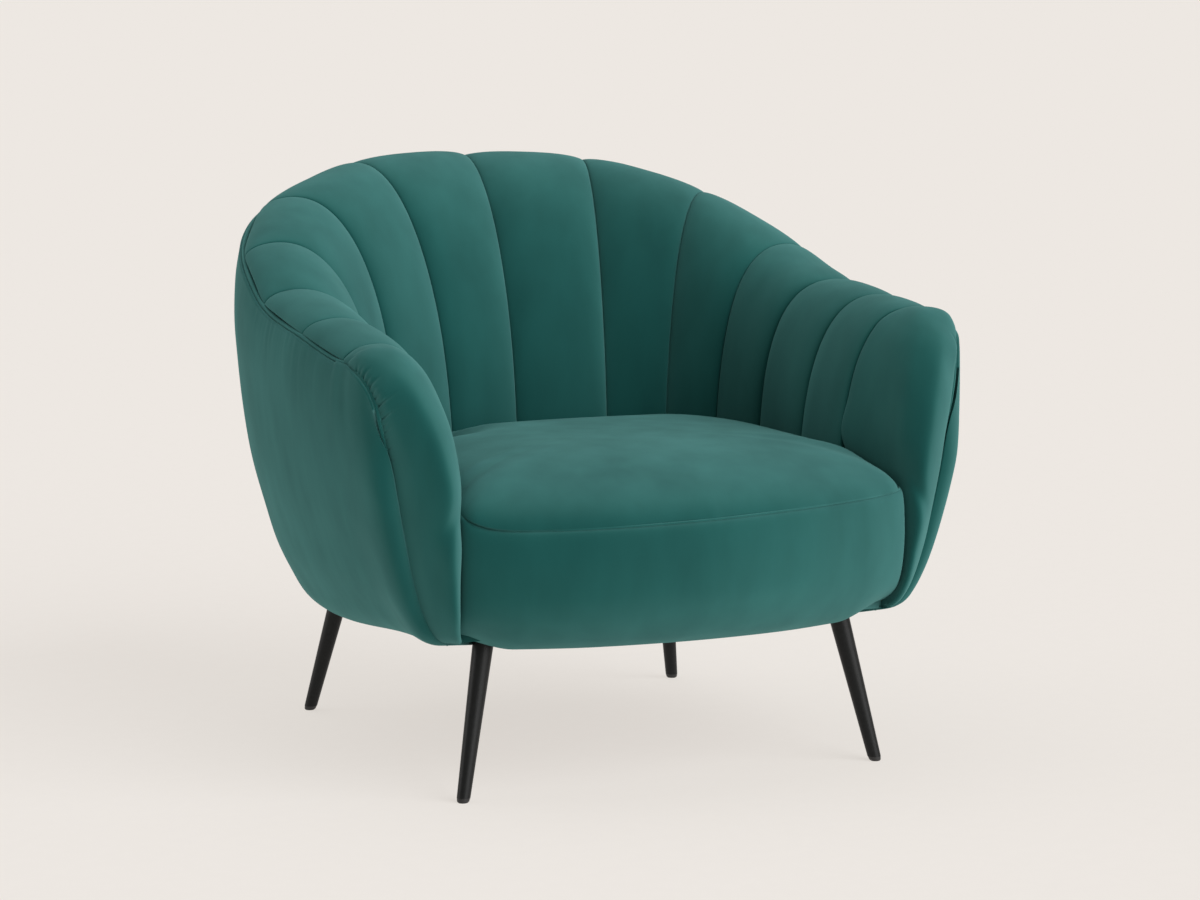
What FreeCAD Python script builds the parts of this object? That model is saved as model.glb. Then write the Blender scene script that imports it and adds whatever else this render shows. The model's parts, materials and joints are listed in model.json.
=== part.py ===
import FreeCAD, Part
import math
import os
from FreeCAD import Vector

# Scallop back lounge chair. Millimetres, +X to the sitter's left hand, +Y to the back, +Z up.
# The shapes are drawn with the legs centred on Y = 0, then moved so that the whole depth is centred.

# Heights above the floor
BACK_HEIGHT = 760.0
ARM_HEIGHT = 573.0
SEAT_LINE_HEIGHT = 400.0
UNDERSIDE_HEIGHT = 184.0
RAIL_TOP_HEIGHT = 270.0

# Top rail line in plan, through the ridge of the channels
CREST_HALF_WIDTH = 388.0
CREST_MIDDLE_Y = 20.0
CREST_REACH_BACK = 392.0
CREST_REACH_FRONT = 800.0
CREST_SHAPE = 2.08

# Line where the seat meets the channels, in plan
SEAT_HALF_WIDTH = 278.0
SEAT_MIDDLE_Y = -50.0
SEAT_REACH_BACK = 265.0
SEAT_REACH_FRONT = 1400.0
SEAT_SHAPE = 2.7

# Channels, counted from the centre of the back to the arm
CHANNEL_WIDTHS_TOP = [175.0, 175.0, 150.0, 120.0, 130.0, 115.0]
CHANNEL_WIDTHS_SEAT = [125.0, 90.0, 78.0, 92.0, 118.0, 113.0]
# Share of the fall from the back to the arm that is left at each seam
HEIGHT_SHARES = [1.0, 0.963, 0.743, 0.444, 0.198, 0.08, 0.0]
CHANNEL_THICKNESS = 27.0
CHANNEL_CROWN = 0.075
CHANNEL_TUCK = 30.0
CHANNEL_SECTIONS = 20
SEAM_GAP = 0.25
RIDGE_ROUND_BACK = 100.0
RIDGE_ROUND_ARM = 76.0
PROFILE_RISE = 0.5
PROFILE_LEAN = 3.0

# Outer edge, cord and outside cover
CORD_OUT = 44.0
CORD_DROP = 20.0
CORD_DIAMETER = 5.0
CORD_CLEARANCE = 0.4
COVER_THICKNESS = 7.0
BELLY_OUT = 55.0
BELLY_DROP = 95.0
COVER_HEM = 30.0
TURN_HEIGHT = 226.0
TURN_IN = 19.0
REAR_TURN_DROP = 29.0
REAR_TURN_SLOPE = 0.5
REAR_TURN_FROM = 460.0
REAR_TURN_TO = 330.0

# Arm fronts
ARM_FRONT_Y = -296.0
ARM_PAD_NOSE = 58.0
ARM_CORNER = 46.0
ARM_CORNER_DROP = 62.0
ARM_FACE_SPLAY = 15.0
ARM_SEAT_GAP = 2.5

# Seat
BAND_HALF_WIDTH = 303.0
BAND_BACK_Y = -297.0
BAND_END_Y = -336.0
BAND_CORNER_X = 225.0
BAND_CORNER_Y = -386.0
BAND_FRONT_Y = -420.0
BAND_PROFILE = [(185.0, 97.0), (188.0, 77.0), (194.0, 59.0), (203.0, 43.0), (217.0, 28.0), (236.0, 15.0),
                (262.0, 5.0), (300.0, 0.0), (330.0, 1.0), (345.0, 4.0), (352.0, 9.0)]
SEAT_BOTTOM_HEIGHT = 353.0
CUSHION_HALF_WIDTH = 267.0
CUSHION_FRONT_HALF_WIDTH = 297.0
CUSHION_WAIST_Y = -240.0
CUSHION_BACK_Y = 196.0
CUSHION_MIDDLE_Y = -90.0
CUSHION_PROFILE = [(353.0, 0.0, 0.0, 0.0), (372.0, 0.0, 11.0, 0.0), (390.0, 3.0, 34.0, 3.0),
                   (403.0, 21.0, 66.0, 18.0), (413.0, 58.0, 108.0, 52.0), (420.0, 110.0, 166.0, 104.0)]
SEAT_CORD_DIAMETER = 3.2
SEAM_CORD_OUT = 1.0

# Timber frame
BOARD_BOTTOM_HEIGHT = 206.0
BOARD_THICKNESS = 22.0
BOARD_CLEARANCE = 2.5
BOARD_OPENING_X = 185.0
BOARD_OPENING_FRONT_Y = -215.0
BOARD_OPENING_BACK_Y = 160.0
RING_WIDTH = 34.0
RING_FRONT_Y = -235.0
RAIL_THICKNESS = 25.0
FRAME_FRONT_Y = -296.0
FRAME_BACK_Y = 225.0
FRAME_HALF_WIDTH = 262.0
STRETCHER_WIDTH = 40.0
BLOCK_LEG = 70.0
POST_BACK_Y = -196.0
POST_TOP_DROP = 92.0
RIB_THICKNESS = 18.0
RIB_BEHIND_SEAT = 8.0
RIB_SHOULDER_HEIGHT = 290.0
TOP_RAIL_WIDTH = 34.0
TOP_RAIL_DEPTH = 22.0
TOP_RAIL_DROP = 41.0
LINING_THICKNESS = 2.0
LINING_GAP = 5.0

# Springs and fillings under the seat
SPRING_COUNT = 5
SPRING_PITCH = 92.0
SPRING_WIRE = 3.6
SPRING_LOOP = 12.0
SPRING_SWING = 46.0
CLIP_WIDTH = 56.0
CLIP_THICKNESS = 1.6
FELT_THICKNESS = 4.0
PAD_GAP = 1.0

# Legs
LEG_FRONT_X = 289.0
LEG_REAR_X = 279.0
LEG_Y = 301.0
LEG_FRONT_LEAN = (0.21, 0.16)
LEG_REAR_LEAN = (0.19, 0.24)
LEG_TOP_DIAMETER = 27.0
LEG_TIP_DIAMETER = 17.0
LEG_HOLE_CLEARANCE = 1.0
GLIDE_DIAMETER = 16.0
GLIDE_HEIGHT = 6.0
PLATE_DIAMETER = 44.0
PLATE_SET_IN = 8.0
PLATE_THICKNESS = 3.0
DUST_COVER_THICKNESS = 1.0
DUST_COVER_LAP = 12.0
BOLT_DIAMETER = 8.0
BOLT_IN_BOARD = 18.0
BOLT_IN_LEG = 20.0
SCREW_DIAMETER = 4.0
SCREW_HEAD = 7.0
SCREW_LENGTH = 16.0
SCREW_CIRCLE = 33.0

SEAM_COUNT = len(CHANNEL_WIDTHS_TOP)
BOARD_TOP = BOARD_BOTTOM_HEIGHT + BOARD_THICKNESS
UP = Vector(0, 0, 1)


class PlanCurve:
    """Half of a closed plan line, walked from the centre of the back round to the front."""

    STEPS = 900

    def __init__(self, half_width, middle_y, reach_back, reach_front, shape):
        self.points = []
        self.walked = [0.0]
        for i in range(self.STEPS + 1):
            angle = math.pi / 2 - math.pi * 0.86 * i / self.STEPS
            reach = reach_back if angle >= 0 else reach_front
            x = half_width * abs(math.cos(angle)) ** (2 / shape)
            y = middle_y + math.copysign(reach * abs(math.sin(angle)) ** (2 / shape), angle)
            self.points.append(Vector(x, y, 0))
        for a, b in zip(self.points, self.points[1:]):
            self.walked.append(self.walked[-1] + (b - a).Length)

    def at(self, distance):
        """Point and unit direction of travel at a distance along the line."""
        low, high = 0, self.STEPS
        while high - low > 1:
            middle = (low + high) // 2
            if self.walked[middle] <= distance:
                low = middle
            else:
                high = middle
        step = self.points[high] - self.points[low]
        share = (distance - self.walked[low]) / (self.walked[high] - self.walked[low])
        ahead = self.points[min(high + 6, self.STEPS)] - self.points[max(low - 6, 0)]
        return self.points[low] + step * share, unit(ahead)

    def distance_at_y(self, y):
        """Distance along the line where it last passes a given Y on its way forward."""
        for i, point in enumerate(self.points):
            if point.y <= y:
                return self.walked[i]
        return self.walked[-1]


class Station:
    """An upright plane across the shell, through a point of the rail and one of the seat line."""

    def __init__(self, crest, seat, height):
        self.crest = crest
        self.height = height
        self.outward = unit(crest - seat)
        self.depth = (crest - seat).Length
        self.side = unit(self.outward.cross(UP))

    def place(self, q, z):
        return self.crest + self.outward * q + UP * z


def unit(vector):
    return vector * (1.0 / vector.Length)


def bezier(t, a, b, c, d):
    """Point and direction of a cubic curve with four control points."""
    s = 1 - t
    point = a * s**3 + b * (3 * s * s * t) + c * (3 * s * t * t) + d * t**3
    along = (b - a) * (3 * s * s) + (c - b) * (6 * s * t) + (d - c) * (3 * t * t)
    return point, along


def crest_height(distance):
    """Height of the channel ridge: high at the back, falling in a smooth wave to the arms."""
    places = [sum(CHANNEL_WIDTHS_TOP[:i]) for i in range(SEAM_COUNT + 1)]
    if distance >= places[-1]:
        return ARM_HEIGHT
    i = max(j for j in range(SEAM_COUNT) if places[j] <= distance)
    span = places[i + 1] - places[i]
    share = (distance - places[i]) / span
    start = HEIGHT_SHARES[i]
    end = HEIGHT_SHARES[i + 1]
    leaving = fall_slope(places, i) * span
    arriving = fall_slope(places, i + 1) * span
    left = start * (1 + 2 * share) * (1 - share)**2 + leaving * share * (1 - share)**2
    left += end * share**2 * (3 - 2 * share) - arriving * share**2 * (1 - share)
    return ARM_HEIGHT + (BACK_HEIGHT - ARM_HEIGHT) * left


def fall_slope(places, i):
    """Slope of the ridge line at a seam; level at both ends."""
    if i in (0, SEAM_COUNT):
        return 0.0
    return (HEIGHT_SHARES[i + 1] - HEIGHT_SHARES[i - 1]) / (places[i + 1] - places[i - 1])


def seam_station(number):
    """The plane that holds one stitched seam between two channels."""
    top = sum(CHANNEL_WIDTHS_TOP[:number])
    crest, _ = CREST.at(top)
    seat, _ = SEAT_LINE.at(sum(CHANNEL_WIDTHS_SEAT[:number]))
    return Station(crest, seat, crest_height(top))


def shell_station(distance):
    """A plane square to the top rail, for what follows the rail and not the seams."""
    crest, travel = CREST.at(distance)
    outward = Vector(-travel.y, travel.x, 0)
    return Station(crest, crest - outward, crest_height(distance))


def seam_point(station, t, number):
    """Face line of the shell: t from 0 at the seat to 1 on the ridge and 2 at the edge cord."""
    z = station.height
    share = number / SEAM_COUNT
    ridge = RIDGE_ROUND_BACK + (RIDGE_ROUND_ARM - RIDGE_ROUND_BACK) * share
    low = SEAT_LINE_HEIGHT - CHANNEL_TUCK
    if t <= 1:
        rise = (z - low) * PROFILE_RISE
        lean = rise * math.tan(math.radians(PROFILE_LEAN))
        corners = [(-station.depth, low), (-station.depth + lean, low + rise), (-ridge, z), (0, z)]
    else:
        t = t - 1
        corners = [(0, z), (CORD_OUT * 0.55, z), (CORD_OUT, z - CORD_DROP * 0.45), (CORD_OUT, z - CORD_DROP)]
    points = [station.place(q, height) for q, height in corners]
    return bezier(t, *points)


def polygon(points):
    return Part.makePolygon(points + [points[0]])


def wire_of(edges):
    return Part.Wire([edge.toShape() for edge in edges])


def line(a, b):
    return Part.LineSegment(a, b)


def arc(a, middle, b):
    return Part.Arc(a, middle, b)


def loft(sections, ruled=False):
    return Part.makeLoft(sections, True, ruled)


def prism(points, vector):
    return Part.Face(polygon(points)).extrude(vector)


def box(x0, y0, z0, x1, y1, z1):
    return Part.makeBox(x1 - x0, y1 - y0, z1 - z0, Vector(x0, y0, z0))


def mirrored(shape):
    return shape.mirror(Vector(0, 0, 0), Vector(1, 0, 0))


def arc_to(start, direction, end):
    """Arc that leaves start along direction and ends at end."""
    chord = end - start
    across = direction - unit(chord) * direction.dot(unit(chord))
    if across.Length < 1e-6:
        return line(start, end)
    turn = math.atan2(across.Length, direction.dot(unit(chord)))
    middle = (start + end) * 0.5 + unit(across) * (chord.Length / 2 * math.tan(turn / 2))
    return arc(start, middle, end)


def smooth_wire(points):
    """Tangent arcs through the points, two to a span."""
    directions = [unit(points[1] - points[0])]
    for before, after in zip(points, points[2:]):
        directions.append(unit(after - before))
    directions.append(unit(points[-1] - points[-2]))
    edges = []
    for i in range(len(points) - 1):
        a, b = points[i], points[i + 1]
        da, db = directions[i], directions[i + 1]
        span = b - a
        spread = 2 - 2 * da.dot(db)
        reach = span.dot(da + db)
        if spread < 1e-9:
            d = span.dot(span) / (2 * reach)
        else:
            d = (-reach + math.sqrt(reach * reach + spread * span.dot(span))) / spread
        middle = (a + da * d + b - db * d) * 0.5
        edges.append(arc_to(a, da, middle))
        edges.append(arc_to(middle, unit(b - db * d - (a + da * d)), b))
    return wire_of(edges)


def tube(path, diameter):
    """Round cord or wire along a path of tangent edges."""
    edge = path.OrderedEdges[0]
    start = edge.valueAt(edge.FirstParameter)
    along = edge.tangentAt(edge.FirstParameter)
    ring = Part.Wire([Part.makeCircle(diameter / 2, start, along)])
    return path.makePipeShell([ring], True, False)


# Channels of the inner back

def channel_end():
    """Where the channels stop short of the edge cord, found by halving."""
    station = seam_station(0)
    stop = station.height - CORD_DROP + CORD_DIAMETER / 2 + 2 * CORD_CLEARANCE
    low, high = 1.0, 2.0
    for _ in range(40):
        middle = (low + high) / 2
        if seam_point(station, middle, 0)[0].z > stop:
            low = middle
        else:
            high = middle
    return low


def channel_section(number, t):
    """Outline of one channel across its run: a crowned face, two seam sides and a flat back."""
    near, far = seam_station(number), seam_station(number + 1)
    a, along_a = seam_point(near, t, number)
    b, along_b = seam_point(far, t, number + 1)
    a = a + near.side * SEAM_GAP
    b = b - far.side * SEAM_GAP
    chord = b - a
    out = unit(chord.cross(unit(along_a) + unit(along_b)))
    across = unit(chord.cross(out))
    backs = []
    for corner, side in ((a, near.side), (b, far.side)):
        inward = unit(across.cross(side))
        if inward.dot(out) > 0:
            inward = inward * -1
        backs.append(corner + inward * (CHANNEL_THICKNESS / abs(inward.dot(out))))
    fade = 1.0 - 0.8 * max(t - 1.0, 0.0)
    crown = (a + b) * 0.5 + out * (chord.Length * CHANNEL_CROWN * fade)
    return wire_of([line(backs[0], a), arc(a, crown, b), line(b, backs[1]), line(backs[1], backs[0])])


def make_channel(number):
    end = channel_end()
    steps = [end * i / CHANNEL_SECTIONS for i in range(CHANNEL_SECTIONS + 1)]
    return loft([channel_section(number, t) for t in steps])


# Outside cover, a padded skin from the edge cord down and under the frame


def front_turn(distance):
    """How far a place is into the rounded front corner of the arm, from 0 to 1."""
    start = CREST.distance_at_y(ARM_FRONT_Y + ARM_CORNER * 1.6)
    end = CREST.distance_at_y(ARM_FRONT_Y)
    share = min(max((distance - start) / (end - start), 0.0), 1.0)
    return 1 - math.sqrt(1 - min(share, 0.999) ** 2)


def turn_point(distance):
    """Where the cover starts to turn under: lower and tighter round the rear corners."""
    share = (REAR_TURN_FROM - distance) / (REAR_TURN_FROM - REAR_TURN_TO)
    share = min(max(share, 0.0), 1.0)
    drop = REAR_TURN_DROP * share * share * (3 - 2 * share)
    return -TURN_IN - drop * REAR_TURN_SLOPE, TURN_HEIGHT - drop


def cover_arcs(distance, skin):
    """Points of the cover's profile in its plane, at a depth under its outer face."""
    turn = front_turn(distance)
    z = crest_height(distance)
    turn_q, turn_z = turn_point(distance)
    top_z = z - CORD_DROP - CORD_DIAMETER / 2 - CORD_CLEARANCE - ARM_CORNER_DROP * turn
    top_q = CORD_OUT - 13.0 * turn
    belly_q = BELLY_OUT + (top_q + 1.5 - BELLY_OUT) * turn
    belly_z = z - BELLY_DROP + (top_z - 25.0 - z + BELLY_DROP) * turn
    rise = belly_q - top_q
    upper = (rise**2 + (top_z - belly_z) ** 2) / (2 * rise)
    fall = belly_q - turn_q
    lower = (fall**2 + (belly_z - turn_z) ** 2) / (2 * fall)
    lean = math.asin((belly_z - turn_z) / lower)
    foot = (turn_z - UNDERSIDE_HEIGHT) / (1 - math.sin(lean))
    centres = [(belly_q - upper, belly_z), (belly_q - lower, belly_z)]
    centres.append((turn_q - foot * math.cos(lean), UNDERSIDE_HEIGHT + foot))
    rises = [math.asin((top_z - belly_z) / upper), 0.0, -lean, -math.pi / 2]
    radii = [upper - skin, lower - skin, foot - skin]
    points = []
    for (cq, cz), radius, begin, finish in zip(centres, radii, rises, rises[1:]):
        for angle in (begin, (begin + finish) / 2, finish):
            points.append((cq + radius * math.cos(angle), cz + radius * math.sin(angle)))
    hem_q = centres[2][0] - COVER_HEM
    points.append((hem_q, centres[2][1] - radii[2]))
    return points


def cover_section(distance):
    """Closed outline of the outside cover in one upright plane."""
    station = shell_station(distance)
    outer = [station.place(q, z) for q, z in cover_arcs(distance, 0.0)]
    inner = [station.place(q, z) for q, z in cover_arcs(distance, COVER_THICKNESS)]
    edges = [arc(outer[i], outer[i + 1], outer[i + 2]) for i in (0, 3, 6)]
    edges.append(line(outer[8], outer[9]))
    edges.append(line(outer[9], inner[9]))
    edges.append(line(inner[9], inner[8]))
    edges.extend(arc(inner[i + 2], inner[i + 1], inner[i]) for i in (6, 3, 0))
    edges.append(line(inner[0], outer[0]))
    return wire_of(edges)


def cover_distances():
    """Places of the cover's sections, closer together in the front corner."""
    start = CREST.distance_at_y(ARM_FRONT_Y + ARM_CORNER * 1.6)
    end = CREST.distance_at_y(ARM_FRONT_Y)
    distances = [0.0 + start * i / 10 for i in range(11)]
    distances.extend(start + (end - start) * share for share in (0.4, 0.7, 0.88, 0.97))
    return distances


def make_cover():
    shape = loft([cover_section(distance) for distance in cover_distances()])
    shape.translate(Vector(SEAM_GAP, 0, 0))
    return clear_of_legs(shape)


# Cord along the outer edge


def cord_points():
    """Line of the edge cord from the centre of the back, along the arm and down its front."""
    start = CREST.distance_at_y(ARM_FRONT_Y + ARM_CORNER * 1.6)
    points = []
    for i in range(13):
        station = shell_station(start * i / 12)
        points.append(station.place(CORD_OUT, station.height - CORD_DROP))
    for x, y, z in front_edge():
        points.append(Vector(x, y, z))
    return points


def front_edge():
    """Points of the cord round the arm's front corner and down to the underside."""
    end = CREST.distance_at_y(ARM_FRONT_Y)
    start = CREST.distance_at_y(ARM_FRONT_Y + ARM_CORNER * 1.6)
    points = []
    for share in (0.45, 0.75, 0.92):
        distance = start + (end - start) * share
        station = shell_station(distance)
        q, z = cover_arcs(distance, 0.0)[0]
        lift = CORD_DIAMETER / 2 + CORD_CLEARANCE
        spot = station.place(q, z + lift)
        points.append((spot.x, spot.y - lift * share, spot.z))
    distance = start + (end - start) * 0.97
    station = shell_station(distance)
    profile = cover_arcs(distance, 0.0)
    lift = CORD_DIAMETER / 2 + CORD_CLEARANCE
    places = [profile[2], profile[4], profile[5]]
    for q, z in places:
        spot = station.place(q - lift * 0.4, z)
        points.append((spot.x, spot.y - lift, spot.z))
    return points


def make_cord():
    return tube(smooth_wire(cord_points()), CORD_DIAMETER)


# Arm fronts


def arm_pad_section(z):
    """Level outline of the arm front: inner face, rounded nose and the edge by the cord."""
    end = CREST.distance_at_y(ARM_FRONT_Y)
    station = seam_station(SEAM_COUNT)
    crest = station.crest
    turn_z = station.height - CORD_DROP - ARM_CORNER_DROP
    low = SEAT_LINE_HEIGHT - CHANNEL_TUCK
    beside_band = BAND_HALF_WIDTH + ARM_SEAT_GAP
    inner = beside_band
    if z > low:
        t = face_parameter(station, z)
        inner = seam_point(station, t, SEAM_COUNT)[0].x
    front_inner = max(inner + ARM_FACE_SPLAY, beside_band - max(z - SEAT_LINE_HEIGHT, 0.0) * ARM_FACE_SPLAY / low)
    if z > turn_z:
        front_inner = inner + ARM_FACE_SPLAY * (station.height - z) / (station.height - turn_z)
    if z <= low:
        front_inner = beside_band
    profile = cover_arcs(end, 0.0)
    outer = crest.x + profile_out(profile, z)
    y_edge = ARM_FRONT_Y
    if z > turn_z:
        share = (z - turn_z) / (station.height - turn_z)
        y_edge = ARM_FRONT_Y + ARM_CORNER * (1 - math.sqrt(1 - share**2))
        outer = outer + 10.0 * share * (1 - share) * 4
        outer = outer - (outer - crest.x - 6.0) * share**4
    width = outer - front_inner
    nose = min(ARM_PAD_NOSE, width * 0.55)
    back = outer - COVER_THICKNESS - 7.0
    a = Vector(inner, plane_y(station, inner), z)
    b = Vector(front_inner, y_edge - 1.0, z)
    c = Vector(front_inner + width * 0.5, y_edge - nose, z)
    d = Vector(outer, y_edge - CORD_DIAMETER, z)
    e = Vector(back, y_edge, z)
    f = Vector(back, plane_y(station, back), z)
    return wire_of([line(a, b), arc(b, c, d), line(d, e), line(e, f), line(f, a)])


def plane_y(station, x):
    """Y of a seam plane at a given X, set forward by the seam's gap."""
    return station.crest.y + (x - station.crest.x) * station.outward.y / station.outward.x - 2 * SEAM_GAP


def face_parameter(station, z):
    """Where the seam line of a station reaches a height, found by halving."""
    low, high = 0.0, 1.0
    for _ in range(40):
        middle = (low + high) / 2
        if seam_point(station, middle, SEAM_COUNT)[0].z < z:
            low = middle
        else:
            high = middle
    return low


def profile_out(profile, z):
    """How far out of the ridge the cover's lower arc stands at a height."""
    (q0, z0), (q1, z1), (q2, z2) = profile[3], profile[4], profile[5]
    if z >= z0:
        return q0
    share = (z0 - z) / (z0 - z2)
    sag = q1 - (q0 + (q2 - q0) * (z0 - z1) / (z0 - z2))
    return q0 + (q2 - q0) * share + sag * 4 * share * (1 - share)


def make_arm_front():
    top = seam_station(SEAM_COUNT).height
    bottom = UNDERSIDE_HEIGHT + 6.0
    shares = (0.0, 0.03, 0.09, 0.18, 0.3, 0.42, 0.55, 0.68, 0.8, 0.88, 0.94, 0.975)
    pad = loft([arm_pad_section(bottom + (top - bottom) * share) for share in shares])
    for neighbour in (make_cover(), make_cord(), make_arm_post(), make_base_board()):
        pad = pad.cut(neighbour)
    return max(pad.Solids, key=lambda solid: solid.Volume)


# Seat


def corner_end(start, direction, end):
    """Direction in which an arc arrives that left start along direction."""
    chord = unit(end - start)
    return unit(chord * (2 * direction.dot(chord)) - direction)


def front_edges(half, end_y, corner_x, corner_y, front_y, z):
    """Bowed front in plan, from the left end to the right: corner, front and corner arcs."""
    sag = corner_y - front_y
    radius = (corner_x**2 + sag**2) / (2 * sag)
    slope = Vector((radius - sag) / radius, corner_x / radius, 0)
    ends = Vector(-half, end_y, z), Vector(half, end_y, z)
    left, right = Vector(-corner_x, corner_y, z), Vector(corner_x, corner_y, z)
    leaving = corner_end(right, slope, ends[1])
    corner = arc_to(ends[0], Vector(leaving.x, -leaving.y, 0), left)
    return [corner, arc(left, Vector(0, front_y, z), right), arc_to(right, slope, ends[1])]


def cushion_section(z, side, front, back):
    """Level outline of the seat, drawn in by its own amount at the sides, front and back."""
    sx = 1 - side / CUSHION_HALF_WIDTH
    sf = 1 - front / (CUSHION_MIDDLE_Y - BAND_FRONT_Y)
    sb = 1 - back / (CUSHION_BACK_Y - CUSHION_MIDDLE_Y)

    def spot(x, y):
        scale = sf if y < CUSHION_MIDDLE_Y else sb
        return Vector(x * sx, CUSHION_MIDDLE_Y + (y - CUSHION_MIDDLE_Y) * scale, z)

    half = CUSHION_HALF_WIDTH
    wide = CUSHION_FRONT_HALF_WIDTH
    inset = BAND_PROFILE[-1][1]
    end, corner = spot(wide, BAND_END_Y), spot(BAND_CORNER_X - 6.0, BAND_CORNER_Y + inset)
    front_y = spot(0, BAND_FRONT_Y + inset).y
    edges = front_edges(end.x, end.y, corner.x, corner.y, front_y, z)
    rear = [spot(half, 0.0), spot(half * 0.955, 67.0), spot(half * 0.80, 122.0), spot(half * 0.485, 174.0)]
    waist = spot(half, CUSHION_WAIST_Y)
    bend = spot(half + (wide - half) * 0.42, (CUSHION_WAIST_Y + BAND_END_Y) / 2)
    edges.append(arc(end, bend, waist))
    edges.append(line(waist, rear[0]))
    edges.append(arc(*rear[:3]))
    edges.append(arc(rear[2], rear[3], spot(0, CUSHION_BACK_Y)))
    edges.append(arc(spot(0, CUSHION_BACK_Y), flip(rear[3]), flip(rear[2])))
    edges.append(arc(flip(rear[2]), flip(rear[1]), flip(rear[0])))
    edges.append(line(flip(rear[0]), flip(waist)))
    edges.append(arc(flip(waist), flip(bend), flip(end)))
    return wire_of(edges)


def flip(point):
    return Vector(-point.x, point.y, point.z)


def make_seat_cushion():
    """Crowned seat: rolls up from its front edge and eases down to the channels all round."""
    return loft([cushion_section(*level) for level in CUSHION_PROFILE])


def band_section(z, inset):
    """Level outline of the padded front: a bowed face between the arms."""
    half = BAND_HALF_WIDTH - inset * 0.05
    end_y = min(BAND_END_Y + inset * 0.36, BAND_BACK_Y - 2.0)
    edges = front_edges(half, end_y, BAND_CORNER_X, BAND_CORNER_Y + inset * 0.84, BAND_FRONT_Y + inset, z)
    left, right = Vector(-half, end_y, z), Vector(half, end_y, z)
    back_left, back_right = Vector(-half, BAND_BACK_Y, z), Vector(half, BAND_BACK_Y, z)
    edges.extend([line(right, back_right), line(back_right, back_left), line(back_left, left)])
    return wire_of(edges)


def make_seat_band():
    """Padded front panel that swells in the middle of its height and tucks under the frame."""
    return loft([band_section(z, inset) for z, inset in BAND_PROFILE])


def make_seat_cord():
    """Fine raised seam along the front edge of the seat."""
    inset = BAND_PROFILE[-1][1]
    z = SEAT_BOTTOM_HEIGHT - 0.5
    out = SEAT_CORD_DIAMETER / 2 + SEAM_CORD_OUT
    edges = front_edges(BAND_HALF_WIDTH - 4.0, BAND_END_Y + inset * 0.36 - out, BAND_CORNER_X,
                        BAND_CORNER_Y + inset * 0.84 - out, BAND_FRONT_Y + inset - out, z)
    return tube(wire_of(edges), SEAT_CORD_DIAMETER)


# Timber frame


def board_edge(distance):
    """How far in from the top rail line the base board stops, just inside the cover."""
    (cq, cz), (turn_q, turn_z) = foot_centre(distance), turn_point(distance)
    radius = cz - UNDERSIDE_HEIGHT - COVER_THICKNESS
    if BOARD_BOTTOM_HEIGHT >= turn_z:
        return turn_q - COVER_THICKNESS - BOARD_CLEARANCE
    return cq + math.sqrt(radius**2 - (cz - BOARD_BOTTOM_HEIGHT) ** 2) - BOARD_CLEARANCE


def foot_centre(distance):
    """Centre of the arc on which the cover turns under the chair, in its own plane."""
    outer, inner = cover_arcs(distance, 0.0)[8], cover_arcs(distance, COVER_THICKNESS)[6]
    turn = cover_arcs(distance, 0.0)[6]
    along = unit(Vector(inner[0] - turn[0], 0, inner[1] - turn[1]))
    return outer[0], turn[1] + along.z * (outer[0] - turn[0]) / along.x


def plan_points(front_y, reach, count):
    """Points in plan that follow the top rail line at a distance in from it, back to front."""
    end = CREST.distance_at_y(front_y)
    spots = []
    for i in range(count + 1):
        distance = end * i / count
        spot = shell_station(distance).place(reach(distance), 0)
        spots.append(Vector(0 if i == 0 else spot.x, spot.y, 0))
    return spots


def plan_face(half, front, z):
    """Level face from half an outline, back to front, closed by straight lines at the front."""
    def lift(point):
        return Vector(point.x, point.y, z)

    right = [lift(point) for point in half]
    left = [flip(point) for point in right[::-1]]
    curve = smooth_wire(left + right[1:])
    corners = [right[-1]] + [Vector(x, y, z) for x, y in front]
    corners += [flip(corner) for corner in corners[::-1]]
    sides = [line(a, b).toShape() for a, b in zip(corners, corners[1:])]
    return Part.Face(Part.Wire(curve.Edges + sides))


def make_base_board():
    """Plywood base with the plan of the body, open in the middle."""
    half = plan_points(RING_FRONT_Y, board_edge, 12)
    inner = BAND_HALF_WIDTH - 2.0
    front = [(inner, half[-1].y), (inner, FRAME_FRONT_Y)]
    board = plan_face(half, front, BOARD_BOTTOM_HEIGHT).extrude(UP * BOARD_THICKNESS)
    opening = box(-BOARD_OPENING_X, BOARD_OPENING_FRONT_Y, BOARD_BOTTOM_HEIGHT,
                  BOARD_OPENING_X, BOARD_OPENING_BACK_Y, BOARD_BOTTOM_HEIGHT + BOARD_THICKNESS)
    board = board.cut(opening)
    for x, y in leg_tops():
        board = board.cut(bolt_shape(x, y)).cut(screws_at(x, y))
    return board


def make_base_ring():
    """Timber ring under the board that holds the hem of the cover, clear of the legs."""
    low = UNDERSIDE_HEIGHT + COVER_THICKNESS
    outer = plan_points(RING_FRONT_Y, lambda distance: foot_centre(distance)[0] - 2.0, 12)
    inner = plan_points(RING_FRONT_Y, lambda distance: foot_centre(distance)[0] - 2.0 - RING_WIDTH, 12)
    ring = plan_face(outer, [], low).cut(plan_face(inner, [], low))
    ring = ring.extrude(UP * (BOARD_BOTTOM_HEIGHT - low)).Solids[0]
    return clear_of_legs(ring)


def make_front_rail():
    return box(-FRAME_HALF_WIDTH, FRAME_FRONT_Y, BOARD_TOP, FRAME_HALF_WIDTH, FRAME_FRONT_Y + RAIL_THICKNESS,
               RAIL_TOP_HEIGHT)


def make_rear_rail():
    return box(-FRAME_HALF_WIDTH, FRAME_BACK_Y, BOARD_TOP, FRAME_HALF_WIDTH, FRAME_BACK_Y + RAIL_THICKNESS,
               RAIL_TOP_HEIGHT)


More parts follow.
